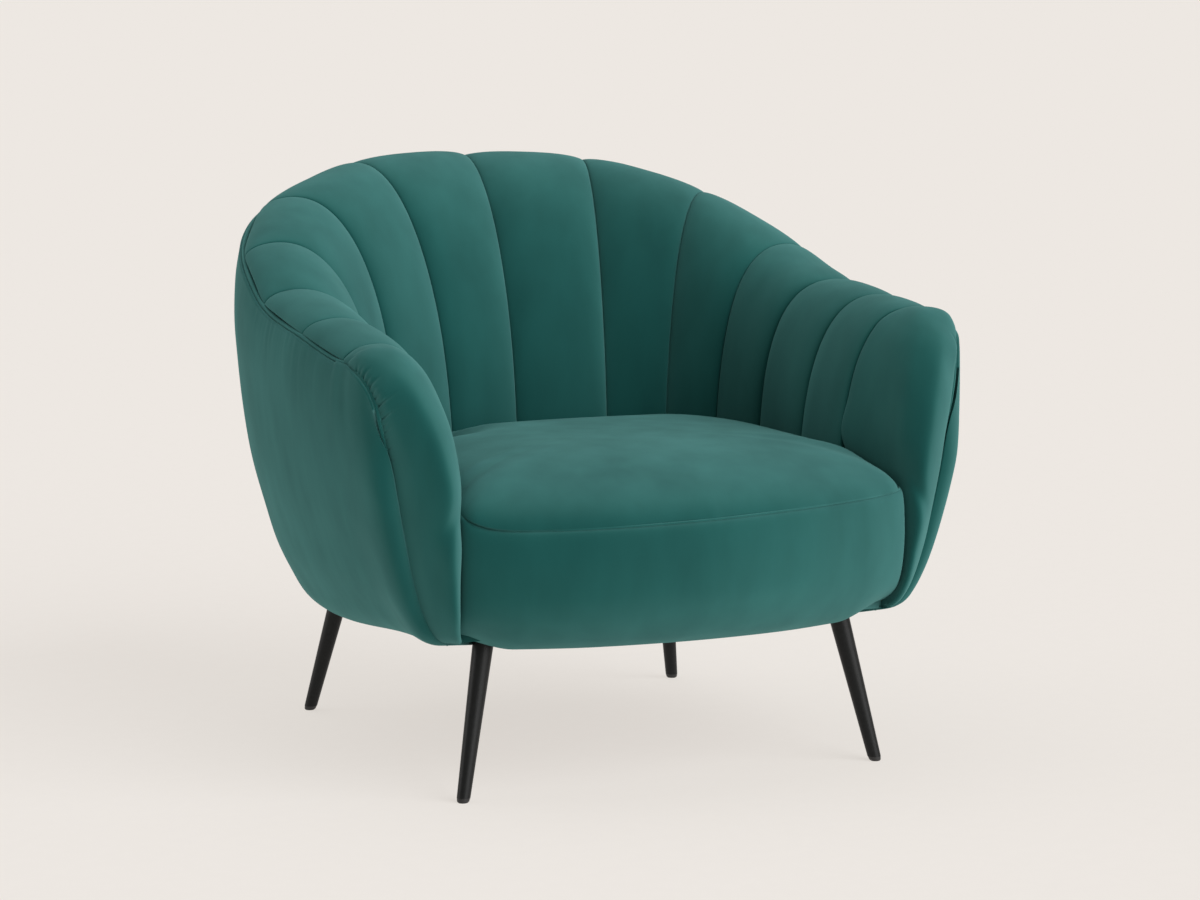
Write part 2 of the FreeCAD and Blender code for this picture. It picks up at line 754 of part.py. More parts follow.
def make_side_rail():
    return box(FRAME_HALF_WIDTH - RAIL_THICKNESS, FRAME_FRONT_Y + RAIL_THICKNESS, BOARD_TOP,
               FRAME_HALF_WIDTH, FRAME_BACK_Y, RAIL_TOP_HEIGHT)


def make_stretcher():
    return box(-STRETCHER_WIDTH / 2, FRAME_FRONT_Y + RAIL_THICKNESS, BOARD_TOP,
               STRETCHER_WIDTH / 2, FRAME_BACK_Y, BOARD_TOP + RAIL_THICKNESS)


def frame_corners():
    """Inner corners of the base frame, each with the two directions along its rails."""
    x = FRAME_HALF_WIDTH - RAIL_THICKNESS
    front, back = FRAME_FRONT_Y + RAIL_THICKNESS, FRAME_BACK_Y
    return [(sx * x, y, -sx, sy) for sx in (-1, 1) for y, sy in ((front, 1), (back, -1))]


def make_corner_blocks():
    """Glue blocks in the corners of the seat rails."""
    blocks = []
    for x, y, sx, sy in frame_corners():
        points = [(x, y), (x + sx * BLOCK_LEG, y), (x, y + sy * BLOCK_LEG)]
        corners = [Vector(px, py, BOARD_TOP) for px, py in points]
        blocks.append(prism(corners, UP * (RAIL_TOP_HEIGHT - BOARD_TOP - 6.0)))
    return Part.makeCompound(blocks)


def make_arm_post():
    """Leaning post that carries the arm front, from the base board up inside the arm."""
    high = ARM_HEIGHT - POST_TOP_DROP
    y0, y1 = POST_BACK_Y - RAIL_THICKNESS, POST_BACK_Y
    sections = []
    for z, x in ((BOARD_TOP, FRAME_HALF_WIDTH + 1.0), (RAIL_TOP_HEIGHT, FRAME_HALF_WIDTH + 14.0),
                 (high, CREST_HALF_WIDTH - 50.0)):
        corners = [(x, y0), (x + 30.0, y0), (x + 30.0, y1), (x, y1)]
        sections.append(polygon([Vector(px, py, z) for px, py in corners]))
    return loft(sections, ruled=True)


def make_rib(number):
    """Plywood upright in one seam plane, between the channels and the outside cover."""
    station = seam_station(number)
    top = station.height - TOP_RAIL_DROP - TOP_RAIL_DEPTH
    inner = []
    for t in (0.16, 0.45, 0.7):
        point, _ = seam_point(station, t, number)
        if point.z < top - 20:
            inner.append(point + station.outward * (CHANNEL_THICKNESS + LINING_THICKNESS + 2 * LINING_GAP))
    low_q = -station.depth + RIB_BEHIND_SEAT
    half = TOP_RAIL_WIDTH / 2
    shoulder = RIB_SHOULDER_HEIGHT
    outline = [(low_q, BOARD_TOP), (low_q, shoulder + 20.0), (low_q + 34.0, SEAT_LINE_HEIGHT - 45.0)]
    points = [station.place(q, z) for q, z in outline] + inner
    outline = [(-half + 2, top), (half - 4, top), (half + 4, top - 90), (-18.0, shoulder), (-50.0, BOARD_TOP)]
    points += [station.place(q, z) for q, z in outline]
    face = Part.Face(polygon(points))
    shape = face.extrude(station.side * RIB_THICKNESS)
    shape.translate(station.side * (-RIB_THICKNESS / 2))
    rails = box(-FRAME_HALF_WIDTH, FRAME_FRONT_Y, BOARD_TOP - 1, FRAME_HALF_WIDTH,
                FRAME_BACK_Y + RAIL_THICKNESS, shoulder)
    shape = shape.cut(rails).cut(TOP_RAIL)
    return shape.cut(mirrored(TOP_RAIL)) if number == 0 else shape


def make_top_rail():
    """Bent timber rail under the ridge, from the centre of the back to the arm front."""
    end = CREST.distance_at_y(POST_BACK_Y - RAIL_THICKNESS)
    half = TOP_RAIL_WIDTH / 2
    sections = []
    for i in range(13):
        station = shell_station(SEAM_GAP + (end - SEAM_GAP) * i / 12)
        high = station.height - TOP_RAIL_DROP
        low = high - TOP_RAIL_DEPTH
        corners = [(-half, high), (half - 8, high), (half - 8, low), (-half, low)]
        sections.append(polygon([station.place(q, z) for q, z in corners]))
    return loft(sections)


def lining_section(number):
    """Thin strip behind the channels in one seam plane."""
    station = seam_station(number)
    skin = []
    for depth in (0.0, LINING_THICKNESS):
        row = []
        for t in (0.06, 0.35, 0.62):
            point, _ = seam_point(station, t, number)
            row.append(point + station.outward * (CHANNEL_THICKNESS + LINING_GAP + depth))
        skin.append(row)
    near, far = skin
    edges = [arc(*near), line(near[2], far[2]), arc(far[2], far[1], far[0]), line(far[0], near[0])]
    return wire_of(edges)


def make_lining():
    shape = loft([lining_section(number) for number in range(SEAM_COUNT + 1)])
    shape.translate(Vector(SEAM_GAP, 0, 0))
    return shape


# Springs and fillings


def spring_xs():
    middle = (SPRING_COUNT - 1) / 2
    return [(i - middle) * SPRING_PITCH for i in range(SPRING_COUNT)]


def make_spring(x):
    """Sinuous spring: straight bars joined by half turns, flat on top of the rails."""
    z = RAIL_TOP_HEIGHT + CLIP_THICKNESS + SPRING_WIRE / 2
    start = FRAME_FRONT_Y + RAIL_THICKNESS / 2
    end = FRAME_BACK_Y + RAIL_THICKNESS / 2
    turns = int((end - start) / (2 * SPRING_LOOP))
    radius = (end - start) / (2 * turns)
    half = SPRING_SWING / 2 - radius
    edges = []
    y, side = start, -1
    edges.append(line(Vector(x, y, z), Vector(x + side * half, y, z)))
    for i in range(turns):
        a = Vector(x + side * half, y, z)
        middle = Vector(x + side * (half + radius), y + radius, z)
        b = Vector(x + side * half, y + 2 * radius, z)
        edges.append(arc(a, middle, b))
        y += 2 * radius
        last = i == turns - 1
        edges.append(line(b, Vector(x if last else x - side * half, y, z)))
        side = -side
    return tube(wire_of(edges), SPRING_WIRE)


def make_springs():
    return Part.makeCompound([make_spring(x) for x in spring_xs()])


def make_clips():
    """Flat steel clip under each spring end, with a lip folded up beside the wire."""
    clips = []
    for x in spring_xs():
        for y, way in ((FRAME_FRONT_Y + RAIL_THICKNESS / 2, -1), (FRAME_BACK_Y + RAIL_THICKNESS / 2, 1)):
            low = RAIL_TOP_HEIGHT
            plate = box(x - CLIP_WIDTH / 2, y - 8, low, x + CLIP_WIDTH / 2, y + 8, low + CLIP_THICKNESS)
            edge = y + way * (SPRING_WIRE / 2 + 0.6)
            lip_y = min(edge, edge + way * CLIP_THICKNESS)
            top = low + CLIP_THICKNESS + SPRING_WIRE
            lip = box(x - 10, lip_y, low, x + 10, lip_y + CLIP_THICKNESS, top)
            clips.append(plate.fuse(lip).removeSplitter())
    return Part.makeCompound(clips)


def flat_pad(z, thickness, inset):
    """Flat layer with the seat's plan: straight front, round back."""
    front = FRAME_FRONT_Y + inset
    back = FRAME_BACK_Y - inset
    half = CUSHION_HALF_WIDTH - inset
    shoulder = back - 120.0
    a, b = Vector(-half, front, z), Vector(half, front, z)
    c, e = Vector(half, shoulder, z), Vector(-half, shoulder, z)
    d = Vector(0, back, z)
    outline = wire_of([line(a, b), line(b, c), arc(c, d, e), line(e, a)])
    return Part.Face(outline).extrude(Vector(0, 0, thickness))


def felt_height():
    return RAIL_TOP_HEIGHT + CLIP_THICKNESS + SPRING_WIRE + PAD_GAP


def make_felt():
    return flat_pad(felt_height(), FELT_THICKNESS, 14.0)


def make_foam():
    low = felt_height() + FELT_THICKNESS + 0.3
    return flat_pad(low, SEAT_BOTTOM_HEIGHT - PAD_GAP - low, 20.0)


# Legs


def leg_top_height():
    return BOARD_BOTTOM_HEIGHT - PLATE_THICKNESS


def leg_axis(sx, sy):
    """Foot centre and direction of one leg, leaning in as it rises."""
    x, lean = (LEG_FRONT_X, LEG_FRONT_LEAN) if sy < 0 else (LEG_REAR_X, LEG_REAR_LEAN)
    foot = Vector(sx * x, sy * LEG_Y, 0)
    return foot, Vector(-sx * lean[0], -sy * lean[1], 1)


def leg_tops():
    """Where each leg's axis meets its plate, left then right, front then rear."""
    spots = []
    for sx in (-1, 1):
        for sy in (-1, 1):
            foot, lean = leg_axis(sx, sy)
            spot = foot + lean * leg_top_height()
            spots.append((spot.x, spot.y))
    return spots


def leg_cone(sx, sy, clearance):
    """Round tapered leg, cut level where it meets its plate and its glide."""
    foot, lean = leg_axis(sx, sy)
    low, high = GLIDE_HEIGHT, leg_top_height()
    extra = 12.0
    length = (high - low) * lean.Length
    slope = (LEG_TOP_DIAMETER - LEG_TIP_DIAMETER) / 2 / length
    start = foot + lean * low - unit(lean) * extra
    r0 = LEG_TIP_DIAMETER / 2 - slope * extra + clearance
    r1 = LEG_TOP_DIAMETER / 2 + slope * extra + clearance
    cone = Part.makeCone(r0, r1, length + 2 * extra, start, lean)
    return cone.common(box(-600, -600, low, 600, 600, high))


def make_leg(sx, sy):
    foot, lean = leg_axis(sx, sy)
    top = foot + lean * leg_top_height()
    return leg_cone(sx, sy, 0.0).cut(bolt_shape(top.x, top.y))


def clear_of_legs(shape):
    """Cuts room for every leg and its plate out of a shape."""
    for sx in (-1, 1):
        for sy in (-1, 1):
            shape = shape.cut(leg_cone(sx, sy, LEG_HOLE_CLEARANCE))
    for x, y in leg_tops():
        shape = shape.cut(plate_disc(x, y, LEG_HOLE_CLEARANCE))
    return shape


def make_glides():
    """Nylon foot under each leg, flat below with a rounded rim."""
    glides = []
    for sx in (-1, 1):
        for sy in (-1, 1):
            foot, lean = leg_axis(sx, sy)
            top = foot + lean * GLIDE_HEIGHT
            sections = []
            for z, r in ((0.0, GLIDE_DIAMETER / 2 - 2.0), (1.6, GLIDE_DIAMETER / 2 - 0.4)):
                sections.append(Part.Wire([Part.makeCircle(r, foot + lean * z)]))
            sections.append(Part.Wire([Part.makeCircle(LEG_TIP_DIAMETER / 2, top)]))
            glides.append(loft(sections, ruled=True))
    return Part.makeCompound(glides)


def bolt_shape(x, y):
    """Upright hanger bolt from the leg through the plate into the base board."""
    low = leg_top_height() - BOLT_IN_LEG
    high = BOARD_BOTTOM_HEIGHT + BOLT_IN_BOARD
    return Part.makeCylinder(BOLT_DIAMETER / 2, high - low, Vector(x, y, low))


def plate_centre(x, y):
    """Middle of a leg's plate, set in from the leg towards the middle of the chair."""
    return Vector(x, y, 0) - unit(Vector(x, y, 0)) * PLATE_SET_IN


def plate_disc(x, y, clearance):
    """Disc of a leg's plate; with a clearance it also makes room for the screw heads below."""
    low = leg_top_height() - 3 * clearance
    centre = plate_centre(x, y) + UP * low
    return Part.makeCylinder(PLATE_DIAMETER / 2 + clearance, BOARD_BOTTOM_HEIGHT - low, centre)


def screws_at(x, y):
    """Three wood screws with flat heads on the inner side of one leg plate."""
    screws = []
    low = leg_top_height()
    inward = unit(Vector(-x, -y, 0))
    aside = inward.cross(UP)
    for degrees in (-60, 0, 60):
        angle = math.radians(degrees)
        spot = plate_centre(x, y) + (inward * math.cos(angle) + aside * math.sin(angle)) * (SCREW_CIRCLE / 2)
        shank = Part.makeCylinder(SCREW_DIAMETER / 2, SCREW_LENGTH, spot + UP * low)
        head = Part.makeCylinder(SCREW_HEAD / 2, 1.8, spot + UP * (low - 1.8))
        screws.append(shank.fuse(head).removeSplitter())
    return Part.makeCompound(screws)


def make_plates():
    """Round steel plate on top of each leg."""
    plates = [plate_disc(x, y, 0.0).cut(bolt_shape(x, y)).cut(screws_at(x, y)) for x, y in leg_tops()]
    return Part.makeCompound(plates)


def make_bolts():
    return Part.makeCompound([bolt_shape(x, y) for x, y in leg_tops()])


def make_plate_screws():
    screws = []
    for x, y in leg_tops():
        screws.extend(screws_at(x, y).Solids)
    return Part.makeCompound(screws)


def make_dust_cover():
    """Thin black cloth that closes the underside, lapped over the hem, with holes for the front legs."""
    low = UNDERSIDE_HEIGHT - DUST_COVER_THICKNESS
    half = plan_points(RING_FRONT_Y, lambda distance: foot_centre(distance)[0] - DUST_COVER_LAP, 12)
    front = [(BAND_HALF_WIDTH - 6.0, half[-1].y - 15.0), (BAND_HALF_WIDTH - 6.0, FRAME_FRONT_Y - 12.0)]
    cloth = plan_face(half, front, low).extrude(UP * DUST_COVER_THICKNESS)
    return clear_of_legs(cloth)


CREST = PlanCurve(CREST_HALF_WIDTH, CREST_MIDDLE_Y, CREST_REACH_BACK, CREST_REACH_FRONT, CREST_SHAPE)
SEAT_LINE = PlanCurve(SEAT_HALF_WIDTH, SEAT_MIDDLE_Y, SEAT_REACH_BACK, SEAT_REACH_FRONT, SEAT_SHAPE)
TOP_RAIL = make_top_rail()


def make_parts():
    parts = {}
    for number in range(SEAM_COUNT):
        right = make_channel(number)
        parts[f"channel_right_{number + 1}"] = right
        parts[f"channel_left_{number + 1}"] = mirrored(right)
    for name, shape in (("arm_front", make_arm_front()), ("outside_cover", make_cover()),
                        ("edge_cord", make_cord()), ("side_rail", make_side_rail()),
                        ("arm_post", make_arm_post()), ("top_rail", TOP_RAIL),
                        ("back_lining", make_lining())):
        parts[f"{name}_right"] = shape
        parts[f"{name}_left"] = mirrored(shape)
    ribs = [make_rib(number) for number in range(1, SEAM_COUNT)]
    parts["centre_rib"] = make_rib(0)
    parts["ribs_right"] = Part.makeCompound(ribs)
    parts["ribs_left"] = Part.makeCompound([mirrored(rib) for rib in ribs])
    parts["seat_cushion"] = make_seat_cushion()
    parts["seat_front_band"] = make_seat_band()
    parts["seat_seam_cord"] = make_seat_cord()
    parts["base_board"] = make_base_board()
    parts["base_ring"] = make_base_ring()
    parts["front_rail"] = make_front_rail()
    parts["rear_rail"] = make_rear_rail()
    parts["centre_stretcher"] = make_stretcher()
    parts["corner_blocks"] = make_corner_blocks()
    parts["seat_springs"] = make_springs()
    parts["spring_clips"] = make_clips()
    parts["spring_felt"] = make_felt()
    parts["seat_foam"] = make_foam()
    parts["dust_cover"] = make_dust_cover()
    for side, sx in (("left", -1), ("right", 1)):
        for end, sy in (("front", -1), ("rear", 1)):
            parts[f"leg_{end}_{side}"] = make_leg(sx, sy)
    parts["foot_glides"] = make_glides()
    parts["leg_plates"] = make_plates()
    parts["hanger_bolts"] = make_bolts()
    parts["plate_screws"] = make_plate_screws()
    return parts


def main():
    os.makedirs("parts", exist_ok=True)
    rear = CREST_MIDDLE_Y + CREST_REACH_BACK + BELLY_OUT
    shift = Vector(0, -(rear + BAND_FRONT_Y) / 2, 0)
    for name, shape in make_parts().items():
        shape.translate(shift)
        shape.exportStep(f"parts/{name}.step")
        print(name, len(shape.Solids), round(shape.Volume / 1000), "cm3", shape.isValid())


main()
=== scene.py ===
# %% [markdown]
# # A scalloped velvet lounge chair
# The chair is a low tub on four thin legs. Its back is a row of stuffed channels that flare towards a piped
# edge and run round into the arms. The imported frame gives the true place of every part. Here each soft part
# is rebuilt as a fuller, finer form in the same space, and gets a velvet made of shader nodes.

# %% Load the frame
import json
import math
import random
import bpy
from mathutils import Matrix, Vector


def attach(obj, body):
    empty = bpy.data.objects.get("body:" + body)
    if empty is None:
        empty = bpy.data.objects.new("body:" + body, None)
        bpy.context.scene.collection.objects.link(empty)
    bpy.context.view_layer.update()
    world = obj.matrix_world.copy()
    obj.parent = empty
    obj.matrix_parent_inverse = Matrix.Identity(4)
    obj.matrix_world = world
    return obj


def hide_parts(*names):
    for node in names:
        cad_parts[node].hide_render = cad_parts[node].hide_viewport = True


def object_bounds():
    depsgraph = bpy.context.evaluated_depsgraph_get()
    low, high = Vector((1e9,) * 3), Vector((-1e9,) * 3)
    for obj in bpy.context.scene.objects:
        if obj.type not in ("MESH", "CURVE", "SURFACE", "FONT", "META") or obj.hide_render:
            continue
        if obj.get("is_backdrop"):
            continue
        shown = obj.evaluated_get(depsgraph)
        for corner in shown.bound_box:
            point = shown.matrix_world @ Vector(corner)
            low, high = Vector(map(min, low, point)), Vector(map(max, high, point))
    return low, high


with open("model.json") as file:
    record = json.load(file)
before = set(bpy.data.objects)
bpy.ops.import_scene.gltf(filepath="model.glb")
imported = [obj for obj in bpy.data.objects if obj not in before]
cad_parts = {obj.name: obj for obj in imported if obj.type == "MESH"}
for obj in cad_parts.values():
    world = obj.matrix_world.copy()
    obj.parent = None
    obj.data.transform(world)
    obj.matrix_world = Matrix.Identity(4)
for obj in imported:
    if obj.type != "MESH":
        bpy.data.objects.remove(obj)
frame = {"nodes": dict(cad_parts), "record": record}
size_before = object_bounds()
print("CAD nodes:", len(frame["nodes"]))

# %% [markdown]
# ## Driving sizes
# The back follows two rounded plan lines: the rail at its top and the line where the seat meets it. They
# could be drawn as splines by eye, but the part's own numbers keep the cloth on the frame. All lengths are
# in millimetres, before the whole chair is moved by `SHIFT_Y`. In the photograph the seams of the two halves
# don't meet the seat at quite the same places, so the seat line has two sets of widths.

# %% Driving sizes
SHIFT_Y = -23.5
SEAT_LINE_HEIGHT, UNDERSIDE = 400.0, 184.0
ARM_HEIGHT = 573.0
WIDTHS_TOP = [175.0, 175.0, 150.0, 120.0, 130.0, 115.0]
WIDTHS_SEAT = {1: [132.0, 83.0, 78.0, 92.0, 118.0, 113.0],
               -1: [99.0, 98.0, 80.0, 108.0, 120.0, 113.0]}
# How far inside the rail each seam starts to roll over the ridge.
RIDGE = {1: [100.0, 95.0, 90.0, 102.0, 95.0, 75.0, 67.0],
         -1: [100.0, 96.0, 95.0, 87.0, 79.0, 72.0, 67.0]}
# Height of the ridge by distance from the middle of the back.
HEIGHTS = [(0.0, 760.0), (175.0, 753.0), (350.0, 712.0), (500.0, 653.5), (620.0, 606.0), (750.0, 588.0),
           (865.0, ARM_HEIGHT), (1000.0, ARM_HEIGHT)]
SEAMS = len(WIDTHS_TOP)
CORD_OUT, CORD_DROP, CORD_RADIUS = 44.0, 20.0, 2.5
PIPING_RADIUS = 3.3
UP = Vector((0, 0, 1))
SIDES = (("right", 1), ("left", -1))
print("channels a side:", SEAMS, "back height:", HEIGHTS[0][1], "mm")

# %% [markdown]
# ## Curves and blends
# Upholstery has hardly any straight lines, so most measures are given at a few places and blended between
# them. `curve_through` blends numbers, `spline` blends points, and `even` spaces points equally, which keeps
# the faces of a mesh alike.

# %% Blends


def smooth(x):
    x = min(max(x, 0.0), 1.0)
    return x * x * (3 - 2 * x)


def mix(a, b, share):
    return a + (b - a) * share


def curve_through(knots, x):
    """Smooth value at x through sorted (x, value) knots."""
    if x <= knots[0][0]:
        return knots[0][1]
    if x >= knots[-1][0]:
        return knots[-1][1]
    for i in range(len(knots) - 1):
        (x0, y0), (x1, y1) = knots[i], knots[i + 1]
        if x <= x1:
            break

    def slope(j):
        a, b = knots[max(j - 1, 0)], knots[min(j + 1, len(knots) - 1)]
        return (b[1] - a[1]) / (b[0] - a[0])

    h = x1 - x0
    s = (x - x0) / h
    m0, m1 = slope(i) * h, slope(i + 1) * h
    return (y0 * (2 * s**3 - 3 * s**2 + 1) + m0 * (s**3 - 2 * s**2 + s)
            + y1 * (3 * s**2 - 2 * s**3) + m1 * (s**3 - s**2))


print("height of the ridge 250 mm from the middle:", round(curve_through(HEIGHTS, 250.0), 1))

# %% Lines of points
SPLINE_STEPS = 16


def even(points, count):
    """The same line with count + 1 evenly spaced points."""
    lengths = [0.0]
    for a, b in zip(points, points[1:]):
        lengths.append(lengths[-1] + (b - a).length)
    result, i = [], 0
    for k in range(count + 1):
        want = lengths[-1] * k / count
        while i < len(points) - 2 and lengths[i + 1] < want:
            i += 1
        span = max(lengths[i + 1] - lengths[i], 1e-9)
        result.append(points[i].lerp(points[i + 1], min(max((want - lengths[i]) / span, 0.0), 1.0)))
    return result


def spline(points, count):
    """Smooth curve through points, with steps that follow the spacing of the points."""
    fine, places = [], [0.0]
    for a, b in zip(points, points[1:]):
        places.append(places[-1] + max((b - a).length, 1e-6) ** 0.5)
    for i in range(len(points) - 1):
        h = places[i + 1] - places[i]
        slopes = []
        for j in (i, i + 1):
            low, high = max(j - 1, 0), min(j + 1, len(points) - 1)
            slopes.append((points[high] - points[low]) / (places[high] - places[low]) * h)
        for k in range(SPLINE_STEPS):
            s = k / SPLINE_STEPS
            fine.append(points[i] * (2 * s**3 - 3 * s**2 + 1) + slopes[0] * (s**3 - 2 * s**2 + s)
                        + points[i + 1] * (3 * s**2 - 2 * s**3) + slopes[1] * (s**3 - s**2))
    fine.append(points[-1])
    return even(fine, count)


def bezier(t, a, b, c, d):
    """Point and direction of a four-point curve."""
    s = 1 - t
    point = a * s**3 + b * (3 * s * s * t) + c * (3 * s * t * t) + d * t**3
    along = (b - a) * (3 * s * s) + (c - b) * (6 * s * t) + (d - c) * (3 * t * t)
    return point, along


def length_of(points):
    return sum((b - a).length for a, b in zip(points, points[1:]))


arch = spline([Vector((0, 0, 0)), Vector((50, 0, 20)), Vector((100, 0, 0))], 8)
print("an arch 100 mm wide and 20 mm high is", round(length_of(arch), 1), "mm long")

# %% [markdown]
# ## Plan lines
# A superellipse is a circle that can be made squarer with one number. Half of one, stretched further to the
# front than to the back, gives both the wide rail and the tighter seat line.

# %% Plan lines
PLAN_STEPS = 1600
# Share of a half turn that a plan line runs.
PLAN_SWEEP = 0.86
# Steps to either side that the direction of a line is measured over.
SLOPE_REACH = 8


class PlanCurve:
    """Half of a plan line from the centre of the back round to the front, walked by distance."""

    def __init__(self, half, middle, back, front, shape):
        self.points, self.walked = [], [0.0]
        for i in range(PLAN_STEPS + 1):
            angle = math.pi / 2 - math.pi * PLAN_SWEEP * i / PLAN_STEPS
            reach = back if angle >= 0 else front
            x = half * abs(math.cos(angle)) ** (2 / shape)
            y = middle + math.copysign(reach * abs(math.sin(angle)) ** (2 / shape), angle)
            self.points.append(Vector((x, y, 0)))
        for a, b in zip(self.points, self.points[1:]):
            self.walked.append(self.walked[-1] + (b - a).length)

    def at(self, distance):
        low, high = 0, len(self.points) - 1
        while high - low > 1:
            middle = (low + high) // 2
            if self.walked[middle] <= distance:
                low = middle
            else:
                high = middle
        share = (distance - self.walked[low]) / (self.walked[high] - self.walked[low])
        last = len(self.points) - 1
        ahead = self.points[min(high + SLOPE_REACH, last)] - self.points[max(low - SLOPE_REACH, 0)]
        if low < SLOPE_REACH:
            ahead = Vector((1, 0, 0)).lerp(ahead.normalized(), low / SLOPE_REACH)
        return self.points[low].lerp(self.points[high], share), ahead.normalized()

    def distance_at_y(self, y):
        for point, walked in zip(self.points, self.walked):
            if point.y <= y:
                return walked
        return self.walked[-1]


CREST = PlanCurve(388.0, 20.0, 392.0, 800.0, 2.08)
SEAT_LINE = PlanCurve(278.0, -50.0, 265.0, 1400.0, 2.7)


def crest_height(distance):
    return curve_through(HEIGHTS, distance)


print("rail to the front of the arm:", round(CREST.distance_at_y(-215.0)), "mm")

# %% [markdown]
# ## The seams of the back
# On the real chair each seam stands in very nearly one upright plane. Here that plane goes through a point
# of the rail and a point of the seat line. The seam climbs the inside, rolls over the ridge and ends
# at the piped edge. Two four-point curves that meet level on the ridge give that with few numbers.

# %% Seam planes


class Station:
    """Upright plane through a place on the rail, square or nearly square to it."""

    def __init__(self, crest, seat, height):
        self.crest, self.height = crest, height
        self.outward = (crest - seat).normalized()
        self.depth = (crest - seat).length
        self.side = self.outward.cross(UP).normalized()

    def place(self, q, z):
        """Point of the plane at distance q outwards from the rail and height z."""
        return self.crest + self.outward * q + UP * z


def seam_station(number, side):
    """Plane of a seam, numbered from the middle of the back."""
    top, seat = sum(WIDTHS_TOP[:number]), sum(WIDTHS_SEAT[side][:number])
    station = Station(CREST.at(top)[0], SEAT_LINE.at(seat)[0], crest_height(top))
    station.ridge = RIDGE[side][number]
    return station


def shell_station(distance):
    """Plane square to the rail at a distance along it."""
    crest, travel = CREST.at(distance)
    return Station(crest, crest - Vector((-travel.y, travel.x, 0)), crest_height(distance))


print("rail to seat line in plan:", [round(seam_station(n, 1).depth) for n in range(SEAMS + 1)], "mm")

# %% Seam curve
SEAM_START = SEAT_LINE_HEIGHT - 30.0
SEAM_LEAN = math.tan(math.radians(3.0))


def seam_point(station, t):
    """t runs from 0 low at the seat to 1 on the ridge and 2 at the edge."""
    z = station.height
    if t <= 1:
        rise = (z - SEAM_START) * 0.5
        corners = [(-station.depth, SEAM_START), (-station.depth + rise * SEAM_LEAN, SEAM_START + rise),
                   (-station.ridge, z), (0, z)]
    else:
        t = t - 1
        corners = [(0, z), (CORD_OUT * 0.55, z), (CORD_OUT, z - CORD_DROP * 0.45),
                   (CORD_OUT, z - CORD_DROP)]
    return bezier(t, *[station.place(q, height) for q, height in corners])


for number in range(SEAMS + 1):
    print("seam", number, "ridge at", [round(v) for v in seam_point(seam_station(number, 1), 1.0)[0]])

# %% [markdown]
# ## From rings of points to meshes
# A soft piece could be pushed and pulled by hand, but then it would not follow the sizes. Here every soft
# piece is a row of closed rings, and `wrap` skins them into one closed mesh with smooth shading. In the
# photograph the right arm stands a little higher than the left one, and the shoulder of the back the other
# way round. `ARM_LIFT` holds half of that difference by place from front to back.

# %% Skin helper
ARM_LIFT = [(-400.0, 10.0), (-240.0, 9.0), (-125.0, 1.5), (20.0, -7.5), (75.0, -13.5), (137.0, -12.0),
            (190.0, -9.0), (250.0, -5.0), (340.0, -1.0)]
LIFT_FROM, LIFT_OVER = 400.0, 150.0


def to_metres(point, side=1):
    high = smooth((point.z - LIFT_FROM) / LIFT_OVER)
    z = point.z + side * curve_through(ARM_LIFT, point.y) * high
    return (point.x * side / 1000, (point.y + SHIFT_Y) / 1000, z / 1000)


def wrap(name, rings, side=1):
    count = len(rings[0])
    verts = [to_metres(point, side) for ring in rings for point in ring]
    faces = []
    for i in range(len(rings) - 1):
        for j in range(count):
            a, b = i * count + j, i * count + (j + 1) % count
            faces.append((a, b, b + count, a + count))
    faces.append(tuple(range(count))[::-1])
    last = (len(rings) - 1) * count
    faces.append(tuple(last + j for j in range(count)))
    mesh = bpy.data.meshes.new(name)
    mesh.from_pydata(verts, [], faces)
    mesh.update()
    obj = bpy.data.objects.new(name, mesh)
    bpy.context.collection.objects.link(obj)
    bpy.ops.object.select_all(action="DESELECT")
    bpy.context.view_layer.objects.active = obj
    obj.select_set(True)
    bpy.ops.object.mode_set(mode="EDIT")
    bpy.ops.mesh.select_all(action="SELECT")
    bpy.ops.mesh.normals_make_consistent(inside=False)
    bpy.ops.object.mode_set(mode="OBJECT")
    obj.select_set(False)
    for polygon in mesh.polygons:
        polygon.use_smooth = True
    return obj


print("lift of the arm tops, each way:", curve_through(ARM_LIFT, -240.0), "mm")

# %% Register of finished pieces
pieces = {}


def keep(piece, node):
    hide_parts(node)
    pieces[piece.name] = piece
    print(piece.name, "stands for", node, "with", len(piece.data.polygons), "faces")


# %% [markdown]
# ## Channels
# A channel is a tube of velvet sewn down along both sides and stuffed. It rises steeply out of each seam and
# is nearly flat in the middle, which an arc or a plain bevel would miss. So each row between two seams gets
# a crown with a profile of its own, and the back of the channel is a flat pad.

# %% Crown of a channel
CROWN_ACROSS, CROWN_ALONG = 32, 90
# Powers of the crown's profile: how flat its middle is, and how steeply it leaves the seams.
CROWN_SQUARE, CROWN_STEEP = 2.6, 0.62
CHANNEL_END = 1.9
# Height of the crown as a share of the channel's width, by place along the seam.
CROWN = [(0.0, 0.05), (0.12, 0.07), (0.5, 0.082), (0.85, 0.07), (1.0, 0.058), (1.4, 0.045),
         (CHANNEL_END, 0.03)]
PAD_DEPTH, EDGE_DEPTH = 27.0, 12.0
TUCK, SEAM_GAP = 5.0, 0.3


def crown_shape(v):
    return (1 - abs(2 * v - 1) ** CROWN_SQUARE) ** CROWN_STEEP


def crown_place(j):
    """Place across the channel, with more points near the seams."""
    return mix((1 - math.cos(math.pi * j / CROWN_ACROSS)) / 2, j / CROWN_ACROSS, 0.3)


print("crown a tenth and a half of the way across:", round(crown_shape(0.1), 2), crown_shape(0.5))

# %% Channels


